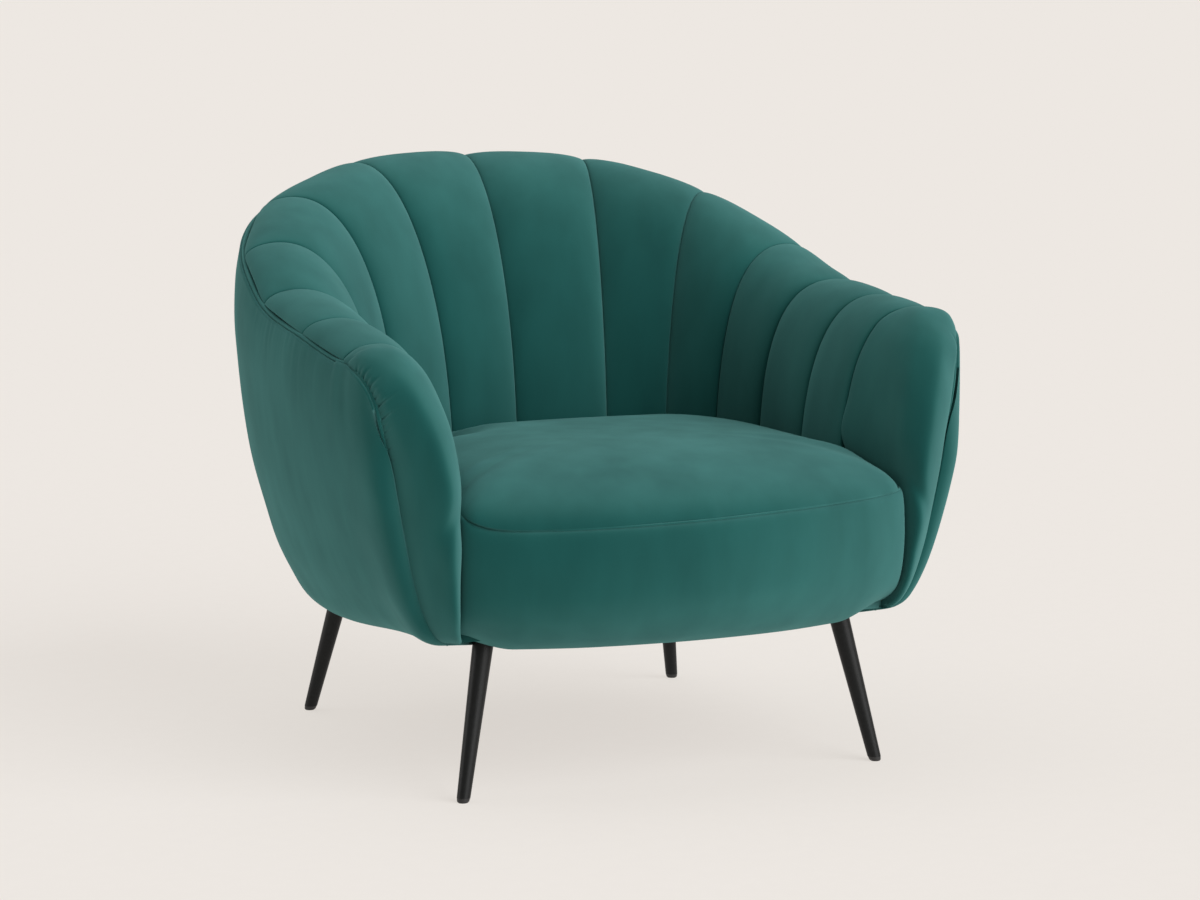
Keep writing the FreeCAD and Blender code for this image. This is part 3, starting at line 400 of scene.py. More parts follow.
def channel_rings(number, side):
    near, far = seam_station(number, side), seam_station(number + 1, side)
    rings = []
    for i in range(CROWN_ALONG + 1):
        t = CHANNEL_END * i / CROWN_ALONG
        a, along_a = seam_point(near, t)
        b, along_b = seam_point(far, t)
        chord = b - a
        out = chord.cross(along_a.normalized() + along_b.normalized()).normalized()
        size = chord.length * curve_through(CROWN, t)
        places = [crown_place(j) for j in range(CROWN_ACROSS + 1)]
        ring = [a.lerp(b, v) + out * (size * crown_shape(v)) for v in places]
        depth = mix(PAD_DEPTH, EDGE_DEPTH, smooth((t - 1.0) / 0.8))
        ring.append(b - out * TUCK - far.side * SEAM_GAP)
        for share in (1.0, 0.5, 0.0):
            ring.append(a.lerp(b, 0.06 + 0.88 * share) - out * depth)
        ring.append(a - out * TUCK + near.side * SEAM_GAP)
        rings.append(ring)
    return rings


for number in range(SEAMS):
    for word, side in SIDES:
        keep(wrap(f"velvet_channel_{word}_{number + 1}", channel_rings(number, side), side),
             f"channel_{word}_{number + 1}")

# %% [markdown]
# ## Piping line
# Piping is a cord in a strip of velvet, sewn between two panels. It runs along the rail to the front of the
# arm, turns down over the corner and ends under the chair. The rail part comes from the plan line. The
# corner is a curve through listed points, because the cover is pulled in tight there.

# %% Piping line
CORNER_START = CREST.distance_at_y(-215.0)
# Below this height the piping has turned down the front of the arm.
CORNER_FOOT = 500.0
WELT_FRONT = [(411.5, -248.0, 552.0), (411.0, -266.0, 547.0), (408.5, -281.0, 539.0),
              (403.0, -293.0, 524.0), (398.5, -301.0, 505.0), (395.0, -304.0, 482.0),
              (384.5, -305.0, 430.0), (376.0, -304.5, 380.0), (366.0, -301.5, 330.0),
              (354.0, -298.0, 280.0), (340.0, -294.0, 240.0), (325.0, -291.0, 214.0),
              (314.0, -286.0, 205.0), (306.0, -280.0, 202.0)]


def edge_top(distance):
    """Line of the piping along the rail."""
    station = shell_station(distance)
    return station.place(CORD_OUT, station.height - CORD_DROP)


rail_line = [edge_top(CORNER_START * i / 60) for i in range(61)]
front_line = spline([rail_line[-2], rail_line[-1]] + [Vector(p) for p in WELT_FRONT], 260)
welt_front = [p for p in front_line if p.y <= rail_line[-1].y + 0.01 or p.z < CORNER_FOOT]
welt_front = even(welt_front, 200)
piping_line = even(rail_line[:-1] + welt_front, 420)
print("piping a side:", round(length_of(piping_line)), "mm")

# %% Piping


def tube(name, points, radius, side=1, around=12):
    rings = []
    for i, point in enumerate(points):
        ahead = (points[min(i + 1, len(points) - 1)] - points[max(i - 1, 0)]).normalized()
        if i:
            across = (previous - ahead * previous.dot(ahead)).normalized()
        else:
            across = ahead.cross(Vector((0.1, 0.2, 1.0))).normalized()
        previous = across
        other = ahead.cross(across)
        rings.append([point + (across * math.cos(a) + other * math.sin(a)) * radius
                      for a in (2 * math.pi * k / around for k in range(around))])
    return wrap(name, rings, side)


for word, side in SIDES:
    keep(tube(f"piping_{word}", piping_line, PIPING_RADIUS, side), f"edge_cord_{word}")

# %% [markdown]
# ## Outside cover
# The outside is one panel a side, stretched from the piping to a row of staples under the frame. Along the
# rail one profile, square to the rail, is carried round. At the front corner of the arm the panel turns in
# to the piping, so there each height gets its own four-point curve from the profile to the piping. Cloth
# that is pulled round a rail shows small upright puckers under the piping.

# %% Profile of the cover
BELLY, BELLY_HEIGHT, BELLY_RISE = 51.0, 500.0, 0.65
# Share of the height below the belly, and how far the cover has come in there.
FALL = [(0.0, 0.0), (0.112, 2.6), (0.274, 9.0), (0.454, 20.0), (0.619, 36.0), (0.757, 51.5), (0.88, 73.0),
        (0.93, 84.0), (0.962, 96.0), (0.983, 110.0), (0.994, 124.0), (1.0, 142.0)]
COVER_END = 175.0
COVER_ROWS = 96
FRONT_RISE = 13.0


def front_rise(y):
    """How much higher the underside is towards the front of the arms."""
    return FRONT_RISE * smooth((20.0 - y) / 230.0)


def cover_profile(distance):
    """Points of the cover from the piping down and under, square to the rail."""
    station = shell_station(distance)
    crest = station.height
    low_z = UNDERSIDE + front_rise(station.crest.y)
    top_z = crest - CORD_DROP - CORD_RADIUS
    belly_z = BELLY_HEIGHT + BELLY_RISE * (crest - ARM_HEIGHT)
    marks = [(CORD_OUT - 0.5, top_z), (mix(CORD_OUT, BELLY, 0.72), mix(top_z, belly_z, 0.4))]
    marks += [(BELLY - fall, mix(belly_z, low_z, share)) for share, fall in FALL]
    marks.append((BELLY - COVER_END, low_z))
    return even(spline([station.place(q, z) for q, z in marks], COVER_ROWS * 3), COVER_ROWS)


print("cover from the piping to its hem, at the back:", round(length_of(cover_profile(0.0))), "mm")

# %% Puckers under the piping
FOLDS_FROM, FOLDS_APART, FOLDS = 610.0, 9.5, 22
dice = random.Random(7)
# Each fold: place along the rail, half width, depth and length as a share of the cover's height.
folds = [(FOLDS_FROM + FOLDS_APART * k + dice.uniform(-3, 3), dice.uniform(2.4, 4.2),
          dice.uniform(0.3, 1.0), dice.uniform(0.06, 0.2)) for k in range(FOLDS)]


def pucker(distance, row):
    """Depth of the soft vertical folds under the piping."""
    depth = 0.0
    for place, width, deep, long in folds:
        near = math.exp(-((distance - place) / width) ** 2)
        depth += deep * near * smooth(row / 0.012) * (1 - smooth(row / long))
    return depth


print("puckers a side:", len(folds))

# %% Front corner of the cover
COVER_STATIONS, CORNER_STEPS = 230, 34
# How tightly the cover turns the corner, and which way it leaves the piping there.
CORNER_TIGHT = 0.72
CORNER_SQUARE = Vector((29.0, -8.0, 0.0))
UNDER_CORNER = [Vector((262.0, -262.0, 196.0)), Vector((240.0, -250.0, 195.0))]


def corner_rows():
    """Rows that turn from the last profile of the rail to the piping on the arm."""
    start, before = cover_profile(CORNER_START), cover_profile(CORNER_START - 12.0)
    turned = next(i for i, p in enumerate(welt_front) if p.z < CORNER_FOOT)
    down = even(welt_front[turned:] + UNDER_CORNER, COVER_ROWS)
    path = even(welt_front[:turned + 1], CORNER_STEPS)
    rows = []
    for k in range(1, CORNER_STEPS + 1):
        row = []
        for j in range(COVER_ROWS + 1):
            a, d = start[j], down[j]
            fall = j / COVER_ROWS
            along = (start[j] - before[j]).normalized()
            b = a + along * (a - d).length * (CORNER_TIGHT * (1 - 0.35 * fall))
            square = Vector((CORNER_SQUARE.x * (1 - 0.3 * fall), CORNER_SQUARE.y, 0.0))
            c = d + square * smooth((1.0 - fall) / 0.25)
            row.append(bezier(k / CORNER_STEPS, a, b, c, d)[0])
        gap = path[k] - row[0]
        for j in range(COVER_ROWS + 1):
            row[j] = row[j] + gap * (1 - smooth(j / COVER_ROWS / 0.32))
        rows.append(row)
    return rows


print("rows along the rail and round the corner:", COVER_STATIONS + 1, CORNER_STEPS)

# %% Outside cover
SKIN = 7.0


def cover_rings():
    rows = []
    for i in range(COVER_STATIONS + 1):
        distance = CORNER_START * i / COVER_STATIONS
        outward = shell_station(distance).outward
        row = cover_profile(distance)
        rows.append([p - outward * pucker(distance, j / COVER_ROWS) for j, p in enumerate(row)])
    rows += corner_rows()
    closed = []
    for i, row in enumerate(rows):
        ahead = rows[min(i + 1, len(rows) - 1)]
        behind = rows[max(i - 1, 0)]
        inner = []
        for j, p in enumerate(row):
            down_way = row[min(j + 1, COVER_ROWS)] - row[max(j - 1, 0)]
            normal = (ahead[j] - behind[j]).cross(down_way)
            inner.append(p + normal.normalized() * SKIN)
        closed.append(row + inner[::-1])
    return closed


cover_half = cover_rings()
for word, side in SIDES:
    keep(wrap(f"velvet_outside_{word}", cover_half, side), f"outside_cover_{word}")

# %% [markdown]
# ## Arm fronts
# The last panel of each arm starts at the last seam, wraps the nose of the arm and ends at the piping. Its
# form is too free for one formula, so rows of points were placed against the photograph. Each row
# crosses from the seam over four rails to the piping as a smooth curve, and the rails run down as smooth
# curves too.

# %% Rows of the arm front
# Each row: place on the last seam, inner rail, second rail, nose and shoulder, and where the row ends: its
# height on the piping, or its Y near the top. A row below the seat has a negative place.
ROWS = [
    (1.80, (408.0, -253.5, 561.0), (410.0, -256.0, 559.0), (411.5, -257.5, 556.5), (412.0, -258.0, 553.5),
     -256.0),
    (1.42, (397.0, -259.0, 570.0), (402.0, -265.0, 568.0), (407.0, -269.0, 563.0), (410.5, -271.0, 555.0),
     -268.0),
    (1.15, (383.0, -264.0, 573.0), (390.0, -274.0, 570.0), (399.0, -282.0, 562.0), (407.5, -285.0, 550.0),
     -280.0),
    (0.96, (362.0, -270.0, 571.0), (371.0, -286.0, 566.0), (386.0, -298.0, 554.0), (401.5, -300.0, 538.0),
     -290.0),
    (0.84, (341.0, -276.0, 557.0), (352.0, -299.0, 553.0), (372.0, -316.0, 541.0), (395.5, -314.0, 522.0),
     -298.0),
    (0.72, (323.0, -283.0, 531.0), (336.0, -314.0, 527.0), (359.0, -333.0, 515.0), (390.0, -325.0, 499.0),
     490.0),
    (0.52, (308.0, -292.0, 485.0), (319.0, -328.0, 483.0), (345.0, -348.0, 476.0), (383.0, -336.0, 467.0),
     462.0),
    (0.33, (300.0, -300.0, 432.0), (309.0, -337.0, 431.0), (333.0, -357.0, 430.0), (371.0, -342.0, 428.0),
     427.0),
    (0.14, (298.0, -304.0, 388.0), (306.5, -341.0, 387.0), (327.0, -359.0, 385.0), (362.0, -343.0, 383.0),
     382.0),
    (-1, (302.0, -304.0, 330.0), (306.0, -338.0, 330.0), (322.0, -355.0, 330.0), (351.0, -338.0, 330.0),
     330.0),
    (-2, (303.0, -303.0, 280.0), (306.0, -333.0, 280.0), (317.0, -348.0, 280.0), (340.0, -333.0, 280.0),
     280.0),
    (-3, (302.0, -302.0, 240.0), (304.0, -326.0, 240.0), (311.5, -339.0, 240.0), (328.0, -326.0, 240.0),
     240.0),
    (-4, (299.0, -298.0, 216.0), (300.0, -315.0, 216.0), (306.0, -326.0, 217.0), (318.0, -315.0, 216.0),
     214.0),
    (-5, (293.0, -292.0, 203.0), (294.0, -304.0, 203.0), (300.0, -312.0, 206.0), (308.0, -304.0, 205.0),
     204.0),
    (-6, (286.0, -284.0, 201.0), (289.0, -292.0, 202.0), (294.0, -297.0, 202.5), (300.0, -290.0, 202.0),
     202.0),
]
print("rows down each arm front:", len(ROWS))

# %% Grid of the arm front
ARM_ACROSS, ARM_DOWN = 64, 420
RIGHT_INNER_SHIFT = 4.5
# How far the outer rail is drawn flat between the nose and the piping.
SHOULDER_FLAT, TOP_FLAT = 0.55, 0.2


def welt_spot(mark):
    """Point of the piping at a height, or at a Y where it still runs along the rail."""
    if mark < 0:
        return min(welt_front, key=lambda p: abs(p.y - mark) + (1000 if p.z < 515 else 0))
    return min(welt_front, key=lambda p: abs(p.z - mark) + (1000 if p.z > 512 else 0))


def arm_grid(side):
    station = seam_station(SEAMS, side)
    rows = []
    for place, i1, i2, nose, outer, mark in ROWS:
        if side > 0 and mark > 0 and place < 0.3:
            i1, i2 = (i1[0] + RIGHT_INNER_SHIFT, *i1[1:]), (i2[0] + RIGHT_INNER_SHIFT, *i2[1:])
        if place > 0:
            start = seam_point(station, place)[0]
        else:
            start = Vector((i1[0] - 4.0, i1[1] + 30.0, i1[2]))
        edge = welt_spot(mark)
        flat = SHOULDER_FLAT if mark > 0 else TOP_FLAT
        shoulder = Vector(outer).lerp((Vector(nose) + edge) / 2, flat)
        rows.append(spline([start, Vector(i1), Vector(i2), Vector(nose), shoulder, edge], ARM_ACROSS))
    first = seam_point(station, CHANNEL_END)[0]
    rows.insert(0, [first.lerp(welt_spot(-252.0), j / ARM_ACROSS) for j in range(ARM_ACROSS + 1)])
    columns = [spline([row[j] for row in rows], ARM_DOWN) for j in range(ARM_ACROSS + 1)]
    return [[column[i] for column in columns] for i in range(ARM_DOWN + 1)]


def grid_normals(grid):
    normals = []
    for i, row in enumerate(grid):
        up, down = grid[max(i - 1, 0)], grid[min(i + 1, len(grid) - 1)]
        line = []
        for j in range(len(row)):
            across = row[min(j + 1, len(row) - 1)] - row[max(j - 1, 0)]
            line.append(across.cross(up[j] - down[j]).normalized())
        normals.append(line)
    return normals


print("piping spots beside the arm front:", [round(welt_spot(row[-1]).z) for row in ROWS])

# %% [markdown]
# ## Gathers
# Round the top of the arm the velvet is eased into a shorter seam, so it gathers into short creases that run
# in from the piping. A displacement texture would put them anywhere. A short list puts each one where it
# belongs, with its own width, depth, length and slant.

# %% Gathers
GATHER_DEPTH = 1.4
# Row on the arm front, half width in rows, depth, length, and rows of slant for each millimetre.
GATHERS = {
    -1: [(20.0, 1.7, 1.6, 16.0, 0.4), (27.0, 1.5, 1.3, 20.0, 0.4), (34.0, 1.7, 2.0, 26.0, 0.4),
         (42.0, 1.5, 1.5, 20.0, 0.4), (49.0, 1.8, 2.2, 30.0, 0.38), (58.0, 1.5, 1.2, 22.0, 0.36),
         (66.0, 1.6, 1.6, 24.0, 0.34), (77.0, 2.0, 3.0, 46.0, 0.26), (87.0, 1.6, 1.3, 20.0, 0.24),
         (95.0, 1.9, 2.4, 38.0, 0.2), (105.0, 1.6, 1.2, 18.0, 0.16), (114.0, 1.8, 1.5, 22.0, 0.14),
         (125.0, 1.8, 1.0, 16.0, 0.1), (138.0, 2.0, 0.9, 18.0, 0.1), (154.0, 2.2, 0.8, 18.0, 0.1)],
    1: [(48.0, 1.8, 1.5, 20.0, 0.1), (58.0, 1.9, 2.2, 34.0, 0.1), (68.0, 1.7, 1.6, 24.0, 0.1),
        (80.0, 2.0, 1.1, 20.0, 0.0)],
}


def gather(i, j, row, gathers):
    """Depth of the short creases that run in from the piping."""
    depth = 0.0
    from_welt = (row[j] - row[-1]).length
    for place, width, deep, long, slant in gathers:
        centre = place + slant * from_welt
        near = math.exp(-((i - centre) / width) ** 2)
        depth += deep * near * (1 - smooth(from_welt / long)) * smooth(from_welt / 3.0)
    return depth


print("gathers on the left and right arm:", len(GATHERS[-1]), len(GATHERS[1]))

# %% Arm fronts
# The panel swells out of the last seam: how high, over what distance, and where it fades.
SEAM_SWELL, SWELL_OVER, SWELL_FADE = 5.0, 9.0, 90.0
ARM_PAD = 16.0


def arm_front(side, gathers):
    grid = arm_grid(side)
    normals = grid_normals(grid)
    rings = []
    for i, row in enumerate(grid):
        line = []
        for j, p in enumerate(row):
            from_seam = (p - row[0]).length
            lift = SEAM_SWELL * (1 - math.exp(-from_seam / SWELL_OVER)) * math.exp(-from_seam / SWELL_FADE)
            line.append(p + normals[i][j] * (lift - GATHER_DEPTH * gather(i, j, row, gathers)))
        first, last = line[0], line[-1]
        depth = min((first - last).length * 0.4, ARM_PAD)
        middle = (first + last) / 2 - normals[i][len(line) // 2] * depth
        rings.append(line + [last.lerp(middle, 0.5), first.lerp(middle, 0.5)])
    return rings


for word, side in SIDES:
    keep(wrap(f"velvet_arm_front_{word}", arm_front(side, GATHERS[side]), side), f"arm_front_{word}")

# %% [markdown]
# ## Front band
# Under the seat a padded band closes the front. It swells a little below the seam and then rolls under the
# chair. One outline in plan, drawn in by a different amount at each height, gives the whole roll, and the
# top edge follows the seam, which is lowest near its left end.

# %% Outline and seam
BAND_HALF, BAND_TOP = 296.0, 352.0
SEAM_LINE = [(-303.0, 364.0), (-292.0, 356.0), (-270.0, 348.5), (-235.0, 346.0), (-130.0, 347.5),
             (0.0, 351.0), (130.0, 355.5), (235.0, 358.0), (275.0, 359.0), (303.0, 361.0)]
# Height, and how far the band is drawn in there.
BAND = [(185.5, 97.0), (186.5, 86.0), (189.0, 73.0), (194.0, 59.0), (203.0, 43.0), (217.0, 28.0),
        (236.0, 15.0), (262.0, 5.0), (300.0, 0.0), (330.0, 1.5), (344.0, 4.5), (350.0, 8.0), (352.0, 11.0)]
BAND_PLAN = [(-298.0, -318.0), (-303.5, -334.0), (-296.0, -347.0), (-270.0, -364.0), (-225.0, -385.0),
             (-130.0, -411.0), (0.0, -421.0), (130.0, -411.0), (225.0, -386.0), (272.0, -366.0),
             (300.0, -349.0), (308.0, -335.0), (302.0, -318.0)]
band_plan = spline([Vector((x, y, 0)) for x, y in BAND_PLAN], 160)


def seam_height(x):
    return curve_through(SEAM_LINE, x)


print("seam height left, middle, right:", [round(seam_height(x)) for x in (-290, 0, 290)])

# %% Front band
END_LIFT = 15.0


def band_rings():
    rings = []
    marks = spline([Vector((inset, z, 0)) for z, inset in BAND], 64)
    for mark in marks:
        inset, z = mark.x, mark.y
        top = smooth((z - 300.0) / 52.0)
        low = 1 - smooth((z - 186.0) / 60.0)
        ring = []
        for p in band_plan:
            pull = mix(0.42, 1.0, smooth((-300.0 - p.y) / 60.0)) * inset
            end_lift = END_LIFT * smooth((abs(p.x) - 228.0) / 72.0) * low
            height = mix(z + end_lift, z - BAND_TOP + seam_height(p.x), top)
            ring.append(Vector((p.x * (1 - 0.035 * inset / 97.0), p.y + pull, height)))
        ring += [Vector((BAND_HALF, -299.0, ring[-1].z)), Vector((-BAND_HALF, -299.0, ring[0].z))]
        rings.append(ring)
    return rings


keep(wrap("velvet_seat_front", band_rings()), "seat_front_band")

# %% [markdown]
# ## Seat
# The seat is one crowned pad: highest in the middle, drawn in at its edges, and wedged between the channels.
# A pressure cloth simulation would swell a flat pad in much the same way. Rings that shrink towards the
# middle while they rise do it directly, so the front edge lands exactly on the seam. The seat in the
# photograph is a little slack at the back, most of all in the left corner.

# %% Outline of the seat
SEAT_FRONT = [(300.0, -331.0), (292.0, -346.0), (266.0, -360.0), (222.0, -378.0), (128.0, -402.5),
              (0.0, -412.0)]
SEAT_SIDE = [(302.0, -318.0), (298.0, -303.0), (289.0, -283.0), (281.0, -263.0), (275.0, -240.0)]
SEAT_WEDGE = 5.0


def cushion_outline():
    """Plan of the seat, anticlockwise from the front left."""
    half = [Vector((x, y, 0)) for x, y in SEAT_FRONT[::-1] + SEAT_SIDE]
    start = SEAT_LINE.distance_at_y(-225.0)
    for j in range(24):
        point, travel = SEAT_LINE.at(start * (1 - j / 24))
        half.append(point + Vector((travel.y, -travel.x, 0)) * SEAT_WEDGE)
    half.append(Vector((0, 210.0, 0)))
    line = spline(half, 150)
    return [Vector((-p.x, p.y, 0)) for p in line[::-1]][:-1] + line[:-1]


print("widest part of the seat:", round(2 * max(p.x for p in cushion_outline())), "mm")

# %% Seat
SEAT_CROWN, SEAT_BOTTOM = 427.0, 353.0
SEAT_CENTRE = Vector((0, -110.0, 0))
SEAT_EDGE = [(-280.0, 389.0), (-110.0, 388.0), (0.0, 392.5), (130.0, 393.5), (280.0, 397.0)]
SEAT_STEPS = 60
CORNER_SAG, BACK_SAG = 42.0, 11.0


def edge_height(p):
    """Height of the seat's edge: at the seam in front, higher beside the channels."""
    back = smooth((p.y + 330.0) / 90.0)
    return mix(seam_height(p.x) + 0.6, curve_through(SEAT_EDGE, p.x), back)


def slack(p):
    """How far the seat has settled at a place in plan."""
    corner = CORNER_SAG * smooth((-90.0 - p.x) / 110.0) * smooth((p.y + 40.0) / 130.0)
    back = BACK_SAG * smooth((210.0 - p.x) / 170.0) * smooth((p.y - 40.0) / 100.0)
    return max(corner, back)


def cushion_rings():
    outline = cushion_outline()
    rings = [[SEAT_CENTRE.lerp(p, 0.96) + UP * SEAT_BOTTOM for p in outline]]
    for i in range(SEAT_STEPS + 1):
        angle = math.pi / 2 * i / SEAT_STEPS
        ring = []
        for p in outline:
            front = smooth((-255.0 - p.y) / 80.0)
            scale = math.cos(angle) ** (2 / mix(2.9, 3.0, front))
            rise = math.sin(angle) ** (2 / mix(2.0, 1.75, front))
            spot = SEAT_CENTRE.lerp(p, max(scale, 0.012))
            ring.append(spot + UP * (mix(edge_height(p), SEAT_CROWN, rise) - slack(spot)))
        rings.append(ring)
    return rings


keep(wrap("velvet_seat", cushion_rings()), "seat_cushion")

# %% [markdown]
# ## Seat seam
# Where the seat meets the band the two cloths are sewn face to face. From a step away this is a fine raised
# line, so a very thin tube along the seam is enough.

# %% Seat seam
SEAM_RADIUS = 1.5
seam_plan = spline([Vector((x, y, 0)) for x, y in BAND_PLAN[1:-1]], 200)
seam_line = [Vector((p.x * 0.992, p.y + 9.5, seam_height(p.x) + 0.4)) for p in seam_plan]
keep(tube("seat_seam", seam_line, SEAM_RADIUS, around=10), "seat_seam_cord")
print("seat seam:", round(length_of(seam_line)), "mm")

# %% [markdown]
# ## Dust cloth
# A thin black cloth is stapled under the frame, just inside the rim of the cover. It is one shallow sheet
# that follows the rise of the underside towards the front corners and hangs a little in the middle.

# %% Dust cloth
CLOTH_THICKNESS, CLOTH_HANG, CLOTH_GAP = 1.6, 3.0, 3.0
CLOTH_IN = 152.0
CLOTH_CENTRE = Vector((0, -20.0, 0))
CLOTH_FRONT = ((258.0, -225.0), (243.0, -262.0), (215.0, -287.0), (120.0, -305.0), (0.0, -310.0))
CLOTH_SHARES = [0.01, 0.1, 0.2, 0.35, 0.5, 0.65, 0.8, 0.92, 1.0]


def cloth_outline():
    half = [shell_station(CORNER_START * i / 40).place(BELLY - CLOTH_IN, 0.0) for i in range(41)]
    half = [p for p in half if p.y > -190.0] + [Vector((x, y, 0.0)) for x, y in CLOTH_FRONT]
    line = spline(half, 110)
    return line[:-1] + [Vector((-p.x, p.y, 0)) for p in line[::-1]][:-1]


def cloth_rings():
    outline, rings = cloth_outline(), []
    for lift, shares in ((0.0, CLOTH_SHARES), (CLOTH_THICKNESS, CLOTH_SHARES[::-1])):
        for share in shares:
            ring = []
            for p in outline:
                spot = CLOTH_CENTRE.lerp(p, share)
                rim = UNDERSIDE + CLOTH_GAP + front_rise(spot.y)
                ring.append(spot + UP * (rim + lift - CLOTH_HANG * (1 - share * share)))
            rings.append(ring)
    return rings


keep(wrap("dust_cloth", cloth_rings()), "dust_cover")

# %% [markdown]
# ## Materials
# Every finish is built from the same few parts: a noise, a colour ramp that turns it into two or more tones,
# and a fine bump. They read Object coordinates, so a pattern stays on its piece.

# %% Material helpers


def new_material(name):
    material = bpy.data.materials.new(name)
    material.use_nodes = True
    tree = material.node_tree
    return material, tree, tree.nodes["Principled BSDF"]


def add_noise(tree, coords, scale, detail, stretch=None):
    node = tree.nodes.new("ShaderNodeTexNoise")
    node.inputs["Scale"].default_value = scale
    node.inputs["Detail"].default_value = detail
    if stretch:
        mapping = tree.nodes.new("ShaderNodeMapping")
        mapping.inputs["Scale"].default_value = stretch
        tree.links.new(coords, mapping.inputs["Vector"])
        coords = mapping.outputs["Vector"]
    tree.links.new(coords, node.inputs["Vector"])
    return node.outputs["Fac"]


def add_ramp(tree, factor, stops):
    node = tree.nodes.new("ShaderNodeValToRGB")
    ramp = node.color_ramp
    while len(ramp.elements) < len(stops):
        ramp.elements.new(0.5)
    for element, (place, colour) in zip(ramp.elements, stops):
        element.position, element.color = place, (*colour, 1)
    tree.links.new(factor, node.inputs["Fac"])
    return node.outputs["Color"]


def add_bump(tree, shader, height, strength, distance):
    node = tree.nodes.new("ShaderNodeBump")
    node.inputs["Strength"].default_value = strength
    node.inputs["Distance"].default_value = distance
    tree.links.new(height, node.inputs["Height"])
    tree.links.new(node.outputs["Normal"], shader.inputs["Normal"])


def object_coords(tree):
    return tree.nodes.new("ShaderNodeTexCoord").outputs["Object"]


# %% [markdown]
# ## Velvet
# Velvet is a dense pile that stands up from its backing. Seen square on, the eye looks down between the
# fibres and the cloth is dark. At a glancing angle the sides of the fibres catch the light and it turns
# pale. The sheen lobe alone lightens only the very rim, so a painted sheen is added to the base colour as
# well: a ramp over the glancing angle, dark square on and pale at a glancing angle. Soft patches of noise
# show where the pile lies over.

# %% Velvet
# Painted sheen: base colour from square on (0, dark) to glancing (1, pale).
PAINTED_SHEEN_RAMP = [(0.0, (0.0105, 0.069, 0.064)), (0.1, (0.0155, 0.083, 0.077)), (0.28, (0.028, 0.112, 0.105)),
        (0.6, (0.045, 0.146, 0.14)), (1.0, (0.076, 0.208, 0.201))]
PATCH_SHADES = (0.8, 1.18)


def pile_patches(tree, coords, lift):
    """Lighter and darker areas where the pile has been brushed one way or the other."""
    both = tree.nodes.new("ShaderNodeMix")
    both.inputs["Factor"].default_value = 0.35
    tree.links.new(add_noise(tree, coords, 6.0, 5.0, stretch=(1.0, 1.0, 0.6)), both.inputs[2])
    tree.links.new(add_noise(tree, coords, 26.0, 3.0, stretch=(1.0, 1.0, 0.25)), both.inputs[3])
    low, high = PATCH_SHADES
    return add_ramp(tree, both.outputs[0], [(0.3, (low * lift,) * 3), (0.7, (high * lift,) * 3)])


# lift brightens the whole velvet; above 1 it is a painted highlight.
def velvet_material(name, lift=1.0):
    material, tree, shader = new_material(name)
    coords = object_coords(tree)
    glancing = tree.nodes.new("ShaderNodeLayerWeight")
    glancing.inputs["Blend"].default_value = 0.5
    blend = tree.nodes.new("ShaderNodeMix")
    blend.data_type, blend.blend_type = "RGBA", "MULTIPLY"
    blend.inputs["Factor"].default_value = 1.0
    # Painted sheen: the viewing angle picks the base colour from the ramp.
    tree.links.new(add_ramp(tree, glancing.outputs["Facing"], PAINTED_SHEEN_RAMP), blend.inputs[6])
    tree.links.new(pile_patches(tree, coords, lift), blend.inputs[7])
    tree.links.new(blend.outputs[2], shader.inputs["Base Color"])
    add_bump(tree, shader, add_noise(tree, coords, 900.0, 2.0), 0.12, 0.0005)
    shader.inputs["Roughness"].default_value = 0.85
    shader.inputs["Specular IOR Level"].default_value = 0.02
    shader.inputs["Sheen Weight"].default_value = 0.035
    shader.inputs["Sheen Roughness"].default_value = 0.4
    shader.inputs["Sheen Tint"].default_value = (0.3, 0.85, 0.8, 1)
    return material


velvet = velvet_material("teal_velvet")
# The piping and the seat seam get the velvet 12% lighter: a painted highlight on these thin rolls.
painted_highlight_cord_velvet = velvet_material("teal_velvet_cord_painted_highlight", 1.12)
print("velvet nodes:", len(velvet.node_tree.nodes))

# %% [markdown]
# ## Legs and hidden parts
# The legs are satin black metal with a very fine bump. The parts inside the body keep their CAD shapes and
# get plain working finishes: pale wood, spring wire, felt and foam. One recipe with two tones of a noise, a
# roughness and a bump serves them all, and wood stretches its noise to make a grain.

# %% Finishes
LEG_GLOSS = 0.22


def speckled(name, dark, light, scale, rough, bump, metal=0.0, stretch=None):
    """A finish with a soft colour change and a fine bump."""
    material, tree, shader = new_material(name)
    grain = add_noise(tree, object_coords(tree), scale, 6.0, stretch)
    tree.links.new(add_ramp(tree, grain, [(0.35, dark), (0.65, light)]), shader.inputs["Base Color"])
    add_bump(tree, shader, grain, bump, 0.001)
    shader.inputs["Roughness"].default_value = rough
    shader.inputs["Metallic"].default_value = metal
    return material


def grey(value):
    return (value, value, value)


